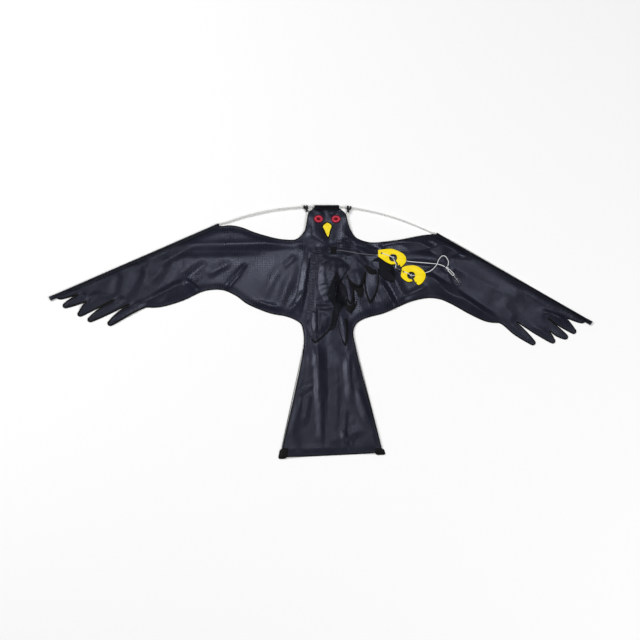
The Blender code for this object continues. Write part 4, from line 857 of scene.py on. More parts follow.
# Cord routes, as in the part's source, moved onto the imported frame
KITE_OFFSET = Vector((0.018078, 0.367292, 0))
UPPER_LEG = [
    (0.0258, -0.1361, 0.0152), (0.0360, -0.1366, 0.0141), (0.0480, -0.1375, 0.0125),
    (0.0600, -0.1392, 0.0114), (0.0720, -0.1410, 0.0102), (0.0840, -0.1428, 0.0093),
    (0.0960, -0.1442, 0.0083), (0.1080, -0.1450, 0.0066), (0.1220, -0.1455, 0.0046),
    (0.1355, -0.1462, 0.0037), (0.1520, -0.1438, 0.0037), (0.1700, -0.1428, 0.0037),
    (0.1880, -0.1446, 0.0037), (0.2040, -0.1560, 0.0036), (0.2150, -0.1628, 0.0032),
    (0.2300, -0.1650, 0.0027), (0.2470, -0.1665, 0.0026), (0.2640, -0.1680, 0.0026),
    (0.2797, -0.1694, 0.0026), (0.2998, -0.1717, 0.0026), (0.3120, -0.1752, 0.0028),
    (0.3205, -0.1795, 0.0034),
]
LOWER_LEG = [
    (0.2325, -0.2055, 0.0037), (0.2470, -0.2032, 0.0037), (0.2580, -0.2003, 0.0037),
    (0.2688, -0.1969, 0.0034), (0.2797, -0.1925, 0.0028), (0.2878, -0.1867, 0.0030),
    (0.2946, -0.1795, 0.0042), (0.2998, -0.1717, 0.0050), (0.3028, -0.1621, 0.0042),
    (0.3082, -0.1534, 0.0034), (0.3137, -0.1485, 0.0033), (0.3205, -0.1485, 0.0033),
    (0.3267, -0.1552, 0.0030), (0.3303, -0.1640, 0.0027), (0.3300, -0.1720, 0.0027),
    (0.3285, -0.1775, 0.0031),
]
SLOT_LEG = [
    (0.1811, -0.1583, 0.0038), (0.1845, -0.1650, 0.0037), (0.1872, -0.1715, 0.0037),
    (0.1872, -0.1770, 0.0044), (0.1864, -0.1815, 0.0056), (0.1881, -0.1850, 0.0062),
]
STRAND_LAY = 0.0056
STRAND_RELIEF = 0.045


def braided(angle, travelled):
    """Radius of a braided cord: two families of strands that cross over it."""
    turn = math.tau * travelled / STRAND_LAY * 2
    highest = max(math.sin(4 * angle + turn), math.sin(4 * angle - turn))
    return CORD_DIAMETER / 2 * (1 - STRAND_RELIEF + STRAND_RELIEF * highest)


def cord_piece(name, node, path, look, body="kite", closed=False):
    return add_piece(name, sweep(node, path, braided, 12, closed), look, body, node, 80)


FITTING_REACH = 0.006
cord_paths = {}
for node, route, look in (("upper_bridle_leg", UPPER_LEG, LEG_LOOK),
                          ("lower_bridle_leg", LOWER_LEG, BRAID_LOOK),
                          ("middle_bridle_link", SLOT_LEG, BRAID_LOOK)):
    path = smooth_path([Vector(point) + KITE_OFFSET for point in route], CORD_STEP)
    cord_paths[node] = path
    cord_piece(node + "_braid", node, path, look)
    CEILINGS += [(point.x, point.y, point.z - CORD_DIAMETER / 2 - GAP, CORD_DIAMETER)
                 for point in path[::8]]
for node in ("upper_winder", "lower_winder", "link_swivel_shank", "link_swivel_barrel",
             "end_swivel_barrel", "snap_hook", "end_loop", "bridle_knot", "upper_hub_knot",
             "lower_hub_knot"):
    level = max(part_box(node)[0].z - GAP * 2, CLOTH + GAP)
    CEILINGS += [(point.x, point.y, level, FITTING_REACH) for point in node_vertices(node)[::3]]


def keep_clear(names, pivot, axis, turns, reach):
    """Keep the cloth under the places that moving parts take at some turns, in degrees."""
    for turn in turns:
        way = Matrix.Rotation(math.radians(turn), 3, axis)
        for point in (point for name in names for point in node_vertices(name)[::4]):
            moved = pivot + way @ (point - pivot)
            SWEPT.append((moved.x, moved.y, moved.z - GAP, reach))


WINDER_PIVOT = Vector((0.197678, 0.212692, 0.0062))
SNAP_PIVOT = Vector((0.367854, 0.153964, 0.00445))
SNAP_AXIS = Vector((0.497521, -0.867452, 0))
keep_clear(["upper_winder"], WINDER_PIVOT, UP, (15, 30, 45), 0.012)
keep_clear(["snap_hook", "snap_gate"], SNAP_PIVOT, SNAP_AXIS, (90, 180, 270), 0.004)


# The sail
SAIL_CREASES = [
    # Left wing, from the neck out: the long band, the diagonal folds, the crumples and the tip
    (170, 245, 302, 243.5, 22, 7, 2.4), (178, 254, 262, 252, 14, 5, 1.0),
    (246.5, 264, 224, 291, 1.6, 3.6, 2.6), (256, 303, 280, 309, 5, 3, 1.8),
    (304, 292, 290, 313, 4, 5, 2.0), (309.6, 257, 300.5, 313, 1.5, 7, 4.8),
    (296, 256, 284, 268, 4, 6, 1.2), (208, 262, 182, 282, 10, 8, 2.0),
    (186, 281, 199, 291, 3, 7, 3.2), (184, 281.5, 146, 302, 9, 5, 4.6),
    (232, 262, 206, 276, 6, 9, 1.6), (170, 258, 150, 284, 9, 12, 2.2),
    (142, 266, 128, 298, 8, 11, 3.2), (119, 272, 113, 298, 6, 8, 3.0),
    (113, 274, 92, 284, 7, 6, 2.2), (94, 294, 113, 298, 4, 5, 2.0),
    (150, 262, 120, 270, 6, 8, 1.8), (196, 246, 150, 268, 6, 8, 1.6),
    # Left fingers, each rolled along its own middle
    (50, 300, 82, 290, 4, 4, 3.0), (64, 305.5, 86, 294, 4.5, 4.5, 6.0),
    (78, 312, 96, 293, 5, 5, 6.6), (88, 319, 124, 298, 5, 5, 7.0), (108, 323, 146, 302, 6, 6, 7.0),
    # Right wing: the dark triangle at the wrist, the long fold, the bands by the belly and the tip
    (384, 246.5, 474, 256.5, 24, 4, 7.4), (421, 235, 444, 248, 4, 3, 1.8),
    (377, 241, 400, 251, 5, 4, 2.2), (380, 280, 398, 312, 4, 9, 4.4),
    (388, 268, 408, 306, 8, 6, 2.2), (402, 300, 428, 285, 6, 9, 2.6),
    (424, 273, 496, 320, 5, 12, 5.0), (446, 266, 520, 300, 14, 12, 1.6),
    (484, 262, 552, 304, 10, 14, 1.8), (500, 300, 522, 330, 10, 10, 1.4),
    (522, 284, 560, 310, 10, 8, 1.6), (541, 311, 570, 322, 4, 7, 3.4),
    (440, 240, 500, 262, 4, 8, 2.2), (356, 262, 372, 318, 8, 8, 1.8),
    (412, 262, 456, 268, 8, 8, 1.2), (552, 300, 580, 319, 6, 6, 1.4),
    (530, 326, 566, 342, 5, 5, 1.4), (520, 322, 533, 342, 5, 5, 1.4),
    (562, 322, 572, 338, 4, 4, 1.4), (568, 318, 590, 326, 4, 4, 1.2),
    # Head and neck
    (313.5, 206.5, 323, 216.5, 3, 4, 3.6), (336, 207, 331, 216, 4, 5, 2.0),
    (306, 233, 330, 245, 9, 3, 1.0), (322, 247, 346, 240, 8, 3, 0.9),
    (345, 236, 372, 251, 5, 4, 2.8), (308, 214, 303, 236, 5, 5, 1.6),
    (346, 212, 350, 234, 5, 5, 1.6), (318, 228, 326, 246, 6, 6, 0.5),
    (338, 226, 332, 246, 6, 6, 0.5), (292, 240, 312, 250, 9, 4, 0.8),
    (338, 243.5, 350, 243.5, 2.2, 2.2, 1.6), (338, 247, 350, 247.2, 2.0, 2.0, 1.4),
    (353, 244, 378, 252, 3, 4, 3.0), (354, 250, 369, 268, 3.5, 4, 3.2),
    # Tail
    (318.2, 345, 319.0, 402, 9, 6, 5.0), (314, 346, 312, 388, 5, 8, 1.8),
    (320.8, 396, 321.8, 446, 3, 8, 3.2), (306.5, 351, 296, 396, 4, 8, 3.2),
    (310, 394, 304, 424, 4, 5, 2.6), (345.5, 404, 344, 446, 4, 5, 2.4),
    (347, 356, 352, 404, 4, 8, 3.0), (356, 388, 370, 424, 5, 7, 3.0),
    (334, 350, 338, 420, 9, 8, 1.4), (299, 395, 312, 386, 3, 3, 2.0),
    (288, 438, 302, 400, 7, 6, 1.6), (330, 442, 364, 430, 8, 6, 1.2),
    (300, 330, 301, 352, 5, 5, 2.0), (351, 330, 356, 356, 6, 5, 2.0),
    (342, 430, 348, 452, 4, 5, 2.0), (290, 450, 330, 448, 6, 4, 1.2),
]
FOLD_SCALE = 1.5
PUFF = 0.0016
RIM_REACH = 0.022
SAIL_ROUNDS = 14
TENT_SLOPE = 0.45
TENT_REACH = 0.03
NECK_LINE = at(320, 250).y
TAIL_CORNERS = {"left": at(280.6, 457.2), "right": at(382.6, 452.4)}
CORNER_REACH = 0.040
EDGE_BINDING = 0.0030
FINGER_SHADE_WIDTH = 0.0014
FINGERS_START = -0.48
FINGERS_FADE = 0.04


def with_tail_corners(outline):
    """The sail's outline carried on to the corners that the pockets cover."""
    for corner in TAIL_CORNERS.values():
        near = [k for k, point in enumerate(outline) if (point - corner).length < CORNER_REACH]
        first = near[0]
        while first - 1 in near:
            first -= 1
        outline = [point for k, point in enumerate(outline) if k not in near]
        outline.insert(first, corner)
    return outline


SAIL_LOOP = smooth_loop(with_tail_corners(top_loops("main_sail")[0]), EDGE_PITCH)


def ramp(values, start, length):
    """A share that rises from 0 at a start to 1 a length further on."""
    return np.clip((values - start) / length, 0, 1)


def sail_shape(spots):
    """The sail's own lift: a soft puff, folds where the photograph has them, and fine unevenness
    that is weaker where the cloth is drawn tight: the inner left wing, right wing and head."""
    x, y = spots.T
    rim = np.full(len(spots), HIGH)
    for point in SAIL_LOOP[::3]:
        rim = np.minimum(rim, distances(spots, point.x, point.y))
    inner = np.clip(rim / RIM_REACH, 0, 1)
    inner = inner * inner * (3 - 2 * inner)
    folds = crease_heights(spots, SAIL_CREASES) * FOLD_SCALE
    across = noise_heights(spots, 0.045, 3.0, 0.9, 1.0)
    upright = noise_heights(spots, 0.030, 5.0, math.pi / 2, 2.0)
    fine = noise_heights(spots, 0.013, 2.0, 1.2, 3.0)
    tight = ramp(x, -0.38, 0.05) * ramp(-x, 0.04, 0.05)
    tight = np.maximum(np.maximum(tight, ramp(x, 0.12, 0.05)), ramp(y, NECK_LINE, 0.03))
    broad = np.where(np.abs(x) > 0.09, across, upright) * 2.0 * (1 - 0.76 * tight)
    uneven = (broad + fine * 0.45 * (1 - 0.85 * tight)) * MM
    return (PUFF * inner + folds * (0.3 + 0.7 * inner) + uneven * (0.2 + 0.8 * inner)).clip(0)


def make_sail():
    """The sail, over its solid's heights and the tail spars, and under what lies on it."""
    spots, triangles = fill(SAIL_LOOP, SAIL_PITCH)
    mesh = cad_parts["main_sail"].data
    solid = surface_tree(node_vertices("main_sail"), [face.vertices for face in mesh.polygons])
    low = np.array([height_on(solid, Vector(spot)) for spot in spots]) - CLOTH
    tops = relax(low, triangles, SAIL_ROUNDS) + sail_shape(spots) + CLOTH
    for side in SIDES:
        for point in even_path(rod_centres(side + "_tail_spar", 1), 0.004):
            distance = distances(spots, point.x, point.y)
            over = point.z + TAIL_ROD_RADIUS + GAP + CLOTH - distance * TENT_SLOPE
            tops = np.maximum(tops, np.where(distance < TENT_REACH, over, 0))
    tops = relax(tops, triangles, 1, 0.2)
    most = np.maximum(ceiling_heights(spots, LAYER), CLOTH + GAP)
    tops = np.minimum(relax(np.minimum(tops, most), triangles, 1, 0.4), most)
    tops = np.maximum(tops, CLOTH + GAP / 2)
    area = float(np.abs(doubled_areas(spots, triangles)).sum() / 2)
    return *lay("sail", spots, triangles, tops, SAIL_LOOK, "main_sail"), area


def edge_width(point):
    """The sail's edge thread, widened round the left wing's fingers, where the extra width is
    painted shade that darkens them.
    """
    return EDGE_BINDING + FINGER_SHADE_WIDTH * clamped((FINGERS_START - point.x) / FINGERS_FADE)


sail, sail_tree, sail_area = make_sail()
binding("sail_edge_binding", SAIL_LOOP, edge_width, sail_tree)


# Leading-edge sleeves and the pockets at their tips
def unevenness(*place):
    return noise.noise(Vector(place))


def squared(value, power):
    """A sine or cosine pushed out towards a square's side."""
    return math.copysign(abs(value) ** power, value)


def sleeve_ends(side):
    """The rod's axis inside a sleeve, from the wrist to the pocket, and the way in to the sail."""
    name = side + "_leading_edge_sleeve"
    low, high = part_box(name)
    line = sorted(rod_centres(side + "_bow_spar", 0), key=lambda point: abs(point.x))
    wrist = next(point for point in line if low.x < point.x < high.x)
    along = (line[-1] - wrist).normalized()
    inward = along.cross(UP) * (-1 if side == "left" else 1)
    reach = [(point - wrist).dot(along) for point in node_vertices(name)]
    return wrist + along * min(reach), wrist + along * max(reach), along, inward


def sewn_tube(name, node, look, path, inward, hem, shares, lift, ripple, puckers, back, radius_at,
              bore, start):
    """A tube round a rod: a wrinkled back and a flat hem that lies over the sail."""
    first, count = back
    outer = []
    for k, point in enumerate(path):
        over = []
        under = []
        for share in shares:
            place = point + inward * hem * share
            place.z = height_on(sail_tree, place, start)
            over.append(place + UP * (lift + ripple * puckers[k] * share))
            under.append(place + UP * GAP)
        ring = over
        for turn in range(count):
            angle = math.radians(first + turn * (360 - 2 * first) / (count - 1))
            way = inward * math.cos(angle) + UP * math.sin(angle)
            spot = point + way * radius_at(k, turn)
            spot.z = max(spot.z, FLOOR_SPARE)
            ring.append(spot)
        outer.append(ring + under[::-1])
    inner = []
    for point, ring in zip(path, outer):
        flats = [inward * (spot - point).dot(inward) + UP * (spot.z - point.z) for spot in ring]
        inner.append([point + flat.normalized() * bore for flat in flats])
    mesh = ring_loft(name, outer + inner[::-1], True)
    add_piece(name, mesh, look, node=node, smooth=70)
    return surface_tree([vert.co for vert in mesh.vertices],
                        [face.vertices for face in mesh.polygons])


ROD_SPARE = 0.0002
# Where the hem's points lie across it, and where the back begins, in degrees, with its points
SLEEVE_HEM_SHARES = (1.0, 0.8, 0.6, 0.42)
SLEEVE_BACK = (28, 14)
HEAD_HEM_SHARES = (1.0, 0.86, 0.72, 0.6)
HEAD_BACK = (34, 16)
SLEEVE_SEEDS = {"left": 4.0, "right": 9.0}


def sleeve(side):
    """The sewn tube along one wing's leading edge."""
    begin, end, _, inward = sleeve_ends(side)
    path = even_path([begin, end], 0.0042)
    reach = SLEEVE_RADIUS + SLEEVE_HEM
    seed = SLEEVE_SEEDS[side]
    drawn = [unevenness(k * 0.16, seed, 0.0) * 0.5 + unevenness(k * 0.55, seed, 1.0) * 0.4
             for k in range(len(path))]

    def radius_at(k, turn):
        bulge = 1.0 + 0.05 * unevenness(k * 0.35, turn * 0.5, seed)
        return SLEEVE_RADIUS * min((1.0 + 0.05 * drawn[k]) * bulge, 1.06)
    puckers = [unevenness(k * 0.9, seed, 5.0) for k in range(len(path))]
    tree = sewn_tube(side + "_sleeve", side + "_leading_edge_sleeve", SLEEVE_LOOK, path, inward,
                     reach, SLEEVE_HEM_SHARES, 0.0010, 0.00028, puckers, SLEEVE_BACK, radius_at,
                     BOW_RADIUS + ROD_SPARE, 0.002)
    line = [(point + inward * (reach - 0.0022)).to_2d() for point in path]
    stitch_row(side + "_sleeve_stitches", line, tree, 0.0030, 0.0012, 0.00026)


TIP_POCKET_LENGTH = 0.016
# Share of the pocket's length, of its width and of its height
TIP_SECTIONS = ((0.0, 1.0, 0.96), (0.06, 1.06, 1.04), (0.14, 1.02, 1.0), (0.3, 1.05, 1.0),
                (0.5, 1.04, 0.97), (0.7, 1.08, 0.9), (0.84, 1.1, 0.72), (0.93, 1.12, 0.5),
                (1.0, 1.05, 0.3))


def tip_pocket(side):
    """The closed end of a sleeve: a doubled cap with a folded, stitched end."""
    _, end, along, inward = sleeve_ends(side)
    spare = SLEEVE_HEM * SLEEVE_HEM_SHARES[-1]
    mouth = end + along * GAP + inward * spare
    rings = []
    for share, wide, tall in TIP_SECTIONS:
        ring = []
        for k in range(28):
            angle = math.tau * k / 28
            uneven = 1 + 0.04 * unevenness(share * 5, k * 0.6, 2.0)
            across = squared(math.cos(angle), 0.6) * (SLEEVE_RADIUS + spare) * wide * uneven
            rise = squared(math.sin(angle), 0.75) * SLEEVE_RADIUS * tall * uneven
            spot = mouth + along * (TIP_POCKET_LENGTH - GAP) * share + inward * across + UP * rise
            spot.z = max(spot.z, FLOOR_SPARE)
            ring.append(spot)
        rings.append(ring)
    name = side + "_tip_pocket"
    add_piece(name, ring_loft(name, rings), SLEEVE_LOOK,
              node=side + "_wing_tip_pocket", smooth=60)


for side in SIDES:
    sleeve(side)
    tip_pocket(side)

# Rods
WAIST_LINE = at(320, 340).y
ROD_BOW = 0.0034


def rod_piece(name, axis, radius, bow=0.0):
    """A round rod along its solid's axis, bent a little under the sail if a bow is given."""
    path = smooth_path(rod_centres(name, axis), 0.006)
    low = min(point.y for point in path)
    for point in path:
        share = (point.y - low) / (WAIST_LINE - low)
        if 0 < share < 1:
            point.x += bow * math.sin(math.pi * share)
    mesh = sweep(name + "_rod", path, lambda angle, travelled: radius, 20)
    add_piece(name + "_rod", mesh, FIBRE_LOOK, node=name, smooth=60)


for side in SIDES:
    rod_piece(side + "_bow_spar", 0, BOW_RADIUS)
rod_piece("left_tail_spar", 1, TAIL_ROD_RADIUS, ROD_BOW)
rod_piece("right_tail_spar", 1, TAIL_ROD_RADIUS, -ROD_BOW)


def head_sleeve():
    """The tube that holds the head to the bow, with its hem sewn down on the head."""
    low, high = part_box("head_sleeve")
    axis = box_middle("bow_ferrule")
    hem = axis.y - low.y
    path = even_path([Vector((x, axis.y, axis.z)) for x in (low.x, high.x)], 0.003)

    def radius_at(k, turn):
        return (high.y - axis.y) * (1 - 0.03 * abs(unevenness(k * 0.3, turn * 0.4, 7.0)))
    puckers = [unevenness(k * 0.7, 3.0, 0.0) for k in range(len(path))]
    # The head tube in the painted shade look
    tree = sewn_tube("head_tube", "head_sleeve", PAINTED_SHADE_LOOK, path, Vector((0, -1, 0)), hem,
                     HEAD_HEM_SHARES, 0.0011, 0.0003, puckers, HEAD_BACK, radius_at,
                     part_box("bow_ferrule")[1].z - axis.z + ROD_SPARE, 0.003)
    line = [Vector((point.x, axis.y - hem + 0.002)) for point in path]
    stitch_row("head_tube_stitches", line, tree)


head_sleeve()


# Tail hems and corner pockets
def plain(lift):
    return lambda spots: np.full(len(spots), lift)


for side in SIDES:
    node = side + "_tail_hem"
    cloth(side + "_hem_band", node_loop(node, FEATHER_PITCH), FEATHER_PITCH, HEM_AND_SHADE_LOOK,
          plain(0.0002), 1, node, [sail_tree])

POCKET_POWER = 0.42
POCKET_BINDING = 0.0016
FLAP_SHADOW_EDGE = 0.0042
# Each pocket's outer corner, the waist that its side runs to, its width and its height
TAIL_POCKETS = {"left": (at(278.3, 458.5), at(301.0, 352.0), 0.0232, 0.0290),
                "right": (at(385.2, 454.1), at(351.5, 345.0), 0.0250, 0.0172)}


def tail_pocket(side, other):
    """A doubled patch over the sail's corner, full in the middle, bound and stitched round it."""
    start, waist, width, height = TAIL_POCKETS[side]
    corner = TAIL_CORNERS[side]
    across = (TAIL_CORNERS[other] - corner).normalized()
    up_side = (waist - corner).normalized()
    loop = []
    for angle in (math.tau * k / 48 for k in range(48)):
        across_share = (1 + squared(math.cos(angle), POCKET_POWER)) / 2
        up_share = (1 + squared(math.sin(angle), POCKET_POWER)) / 2
        loop.append(start + across * width * across_share + up_side * height * up_share)
    if side == "right":
        loop.reverse()
    middle = start + across * width / 2 + up_side * height / 2
    turned = np.array([(across.x, across.y), (up_side.x, up_side.y)])

    def full(spots):
        shares = np.linalg.solve(turned.T, (spots - np.array([middle.x, middle.y])).T)
        near = (np.clip(1 - np.abs(shares[0] / width * 2) ** 3, 0, 1)
                * np.clip(1 - np.abs(shares[1] / height * 2) ** 3, 0, 1))
        ripple = noise_heights(spots, 0.006, 1.5, 0.8, 21.0) * 0.5 * MM
        return 0.0005 + 0.0030 * near ** 0.7 + ripple * near
    tree = cloth(side + "_corner_pocket", loop, 0.0017, HEM_AND_SHADE_LOOK, full, 3,
                 side + "_tail_pocket")[1]
    binding(side + "_corner_pocket_edge", even_loop(loop, 0.0012),
            lambda point: POCKET_BINDING, tree, 0.0004)
    square = [point.lerp(middle, 0.2) for point in loop]
    stitch_row(side + "_corner_stitches", square + square[:1], tree, 0.0022, 0.0010, 0.00026)


tail_pocket("left", "right")
tail_pocket("right", "left")


# The face
def eye(side):
    loop = node_loop(side + "_eye_ring", 0.0012)
    disc = cloth(side + "_eye_patch", scaled_loop(loop, 0.93), 0.0016, RED_LOOK, plain(0.0003), 2,
                 side + "_eye_ring", [sail_tree])[1]
    satin_rim(side + "_eye_rim", scaled_loop(loop, 0.95), 0.0006, 0.0024, disc, RIM_RED_LOOK)
    inner = node_loop(side + "_pupil", 0.0008)
    pupil = cloth(side + "_pupil_patch", inner, 0.0012, DARK_RED_LOOK, plain(0.0004), 1,
                  side + "_pupil", [disc])[1]
    satin_rim(side + "_pupil_rim", inner, 0.0005, 0.0011, pupil, DARK_RED_LOOK)


def beak():
    loop = node_loop("beak", 0.0016)
    middle = np.mean([point.x for point in loop])

    def keel(spots):
        return 0.0003 + 0.0007 * np.clip(1 - np.abs(spots[:, 0] - middle) / 0.010, 0, 1)
    tree = cloth("beak_patch", scaled_loop(loop, 0.92), 0.0018, YELLOW_LOOK, keel, 2,
                 "beak", [sail_tree])[1]
    satin_rim("beak_rim", loop, 0.0007, 0.0034, tree, BINDING_LOOK)


for side in SIDES:
    eye(side)
beak()


# Belly: seam, flap, feathers, pouch, painted shade sheets, hem and tab, from the lowest to the
# highest
class Feather:
    """A feather's middle, its way down, the way across it and half its length and width."""

    def __init__(self, name):
        points = np.array([(p.x, p.y) for p in top_loops(name)[0]])
        self.middle = points.mean(axis=0)
        ways = np.linalg.svd(points - self.middle)[2]
        self.along = ways[0] if ways[0][1] < 0 else -ways[0]
        self.across = np.array([-self.along[1], self.along[0]])
        self.half_length = np.abs((points - self.middle) @ self.along).max()
        self.half_width = np.abs((points - self.middle) @ self.across).max()

    def down(self, spots):
        return (spots - self.middle) @ self.along / self.half_length

    def side(self, spots):
        return (spots - self.middle) @ self.across / self.half_width


def lower_part(loop, feather, reach):
    """The part of a feather's outline that lies below a share of its length."""
    down = [float(feather.down(np.array((p.x, p.y)))) for p in loop]
    top = down.index(min(down))
    kept = [k for k, share in enumerate(turned_loop(down, top)) if share > reach]
    return turned_loop(loop, top)[kept[0]:kept[-1] + 1]


def feather_piece(node, look, crown, curl, edge=0.0026, reach=-0.5, tip=0.5, lean=0.0):
    """A loose feather, crowned across and lifted towards its tip, with a dark edge band that
    widens towards its tip, and to its left if it leans: painted shadow under its lower edge, laid
    on as a band."""
    feather = Feather(node)
    turn = math.atan2(feather.along[1], feather.along[0])

    def shape(spots):
        crowned = crown * MM * (1 - np.clip(feather.side(spots) ** 2, 0, 1))
        lifted = curl * MM * np.clip(feather.down(spots) * 0.5 + 0.5, 0, 1) ** 3
        ripple = noise_heights(spots, 0.012, 4.0, turn, 6.0) * 0.35 * MM
        return (0.0003 + crowned + lifted + ripple).clip(0.0002)

    def width_at(point):
        spot = np.array((point.x, point.y))
        down = clamped(float(feather.down(spot)))
        return edge * (1 + tip * down ** 2) * max(0.4, 1 - lean * float(feather.side(spot)))
    loop = node_loop(node, 0.0026, 60)
    piece, tree = cloth(node + "_cloth", loop, FEATHER_PITCH, look, shape, 8, node)
    # Painted shadow: the dark band along the feather's lower part, widening towards its tip
    binding(node + "_edge", lower_part(loop, feather, reach), width_at, tree, closed=False)


SEAM_PUCKER_PITCH = 0.0085
SEAM_CREASES = [(313.2, 250, 311.4, 312, 2.5, 3, 0.4)]
FLAP_CREASES = [
    (315.0, 307, 316.4, 334, 2.0, 4, 4.0), (318, 309, 334, 308, 3, 3, 2.2),
    (322, 312, 320, 336, 6, 4, 1.8), (328, 314, 325, 330, 4, 5, 1.8),
    (306, 318, 311, 340, 4, 4, 2.0), (313, 336, 319, 345, 4, 3, 1.6),
]
POUCH_CREASES = [
    (316.5, 259, 343, 263, 4, 3, 1.8), (317, 270, 338, 262, 4, 5, 2.0),
    (318, 276, 334, 267, 3, 3, 1.6), (317, 284.5, 331, 283.5, 3, 3, 2.4),
    (317, 291, 330, 287, 3, 3, 2.0), (317, 298, 328, 292, 3, 4, 1.8),
    (336, 264, 334, 276, 4, 4, 1.8), (316.4, 256, 317.0, 305, 2, 3, 1.4),
    (342, 258, 348, 276, 6, 6, 1.6), (322, 303, 333, 299, 3, 3, 1.4),
    (328, 270, 338, 280, 3, 4, 1.2),
]


def seam_shape(spots):
    """The seam's standing ridge, drawn into small puckers by its stitches."""
    uneven = noise_heights(spots, 0.012, 1.0, 0.0, 17.0)
    phase = spots[:, 1] * math.pi / SEAM_PUCKER_PITCH + spots[:, 0] * 90 + uneven * 1.6
    pucker = np.abs(np.sin(phase)) * (1 + uneven * 0.6)
    return 0.0003 + 0.0006 * pucker + crease_heights(spots, SEAM_CREASES)


def flap_shape(spots):
    ripple = noise_heights(spots, 0.014, 2.0, math.pi / 2, 8.0) * 0.6 * MM
    return (0.0006 + crease_heights(spots, FLAP_CREASES) + ripple).clip(0.0002)


def pouch_shape(spots):
    """The pouch's fullness, with the creases that the photograph shows across it."""
    low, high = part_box("belly_pouch")
    middle = box_middle("belly_pouch")
    across = (spots[:, 0] - middle.x - 0.002) / ((high.x - low.x) * 0.46)
    down = (spots[:, 1] - middle.y + 0.004) / ((high.y - low.y) * 0.42)
    dome = np.clip(1 - across * across - down * down, 0, 1)
    creases = crease_heights(spots, POUCH_CREASES) * 0.5
    ripple = noise_heights(spots, 0.010, 2.2, 0.3, 11.0) * 0.49 * MM
    return (0.0004 + 0.0062 * dome ** 0.8 + creases + ripple).clip(0.0003)


def hem_shape(spots):
    """Two stitched channels that leave three soft ribs along the hem."""
    low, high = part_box("pouch_hem")
    share = (spots[:, 1] - low.y) / (high.y - low.y)
    rib = np.abs(np.sin(np.pi * 3 * share)) ** 0.7
    ripple = noise_heights(spots, 0.009, 1.5, math.pi / 2, 14.0) * 0.4 * MM
    return (0.0004 + 0.0013 * rib + ripple).clip(0.0003)


def shade_patch(name, spots, seed, lift, look, pitch):
    """A loosely rumpled dark sheet laid over what is already there, as painted shade."""
    def rumpled(places):
        rumple = noise_heights(places, 0.010, 3.0, 1.9, seed)
        return (0.0005 + lift * MM * (0.6 + 0.8 * rumple)).clip(0.0003)
    cloth(name, smooth_loop(outline_at(spots), pitch), pitch, look, rumpled, 4)


def stitch_rows(name, node, tree, shares, inset, length, gap):
    """Rows of stitches from side to side of a node, at shares of its height."""
    low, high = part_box(node)
    for number, share in enumerate(shares, 1):
        y = low.y + (high.y - low.y) * share
        row = [Vector((low.x + inset, y)), Vector((high.x - inset, y))]
        stitch_row(f"{name}_{number}", even_path(row, 0.003), tree, length, gap, 0.0003)


def nearest(loop, spot):
    """Which of a loop's points is nearest to a place in the photograph."""
    return min(range(len(loop)), key=lambda k: (loop[k] - at(*spot)).length)


def free_edge(loop, start, end):
    """The part of a loop from one place in the photograph to another."""
    first = nearest(loop, start)
    return turned_loop(loop, first)[:(nearest(loop, end) - first) % len(loop) + 1]


seam, seam_tree = cloth("side_gusset", node_loop("side_seam", FEATHER_PITCH, 40), 0.0024,
                        SHINY_LOOK, seam_shape, 4, "side_seam")
for number, shift in enumerate((-1.6, 1.6), 1):
    line = [at(312.6 + shift, 251.5), at(311.4 + shift, 280), at(309.6 + shift, 312)]
    stitch_row(f"side_gusset_stitches_{number}", even_path(line, 0.003), seam_tree, 0.0028,
               0.0014, 0.00034)
# Painted shade: the under-breast feather in matt black, the dark band beneath the broad feather
feather_piece("under_breast_feather", HEM_AND_SHADE_LOOK, 1.0, 0.6)
# The shoulder feather in the painted shade look
feather_piece("shoulder_feather", PAINTED_SHADE_LOOK, 1.4, 1.6, 0.0026, 0.1, 0.8)
# Painted shade: the deep feather in matt black, the gap between the pouch and the feathers
feather_piece("deep_feather", HEM_AND_SHADE_LOOK, 0.8, 0.4)
flap_loop = node_loop("belly_flap", FEATHER_PITCH, 60)
flap, flap_tree = cloth("belly_flap_cloth", flap_loop, FEATHER_PITCH, SHINY_LOOK, flap_shape, 8,
                        "belly_flap")
# Painted shadow: a wide dark band along the flap's free lower edge
binding("belly_flap_shadow_edge", free_edge(flap_loop, (312, 340), (334, 312)),
        lambda point: FLAP_SHADOW_EDGE, flap_tree, closed=False)
# The bright and tail feathers in the painted light look
feather_piece("bright_feather", PAINTED_LIGHT_LOOK, 2.4, 2.2, 0.0040, -0.75, 0.7)
feather_piece("tail_feather", PAINTED_LIGHT_LOOK, 2.0, 2.4, 0.0036, -0.5, 0.3, -0.8)
feather_piece("lower_breast_feather", SHINY_LOOK, 1.8, 1.8, 0.0042, -0.5, 1.6)
feather_piece("breast_feather", SHINY_LOOK, 2.0, 3.0, 0.0034, -0.1, 0.9)
feather_piece("broad_feather", SHINY_LOOK, 2.4, 3.2, 0.0042, -0.1, 0.6, -0.7)
feather_piece("short_black_feather", SHINY_LOOK, 2.0, 1.6, 0.0030, 0.3, 0.6)
pouch = cloth("belly_pouch_cloth", node_loop("belly_pouch", 0.0028, 60), 0.0030, SHINY_LOOK,
              pouch_shape, 5, "belly_pouch")[0]
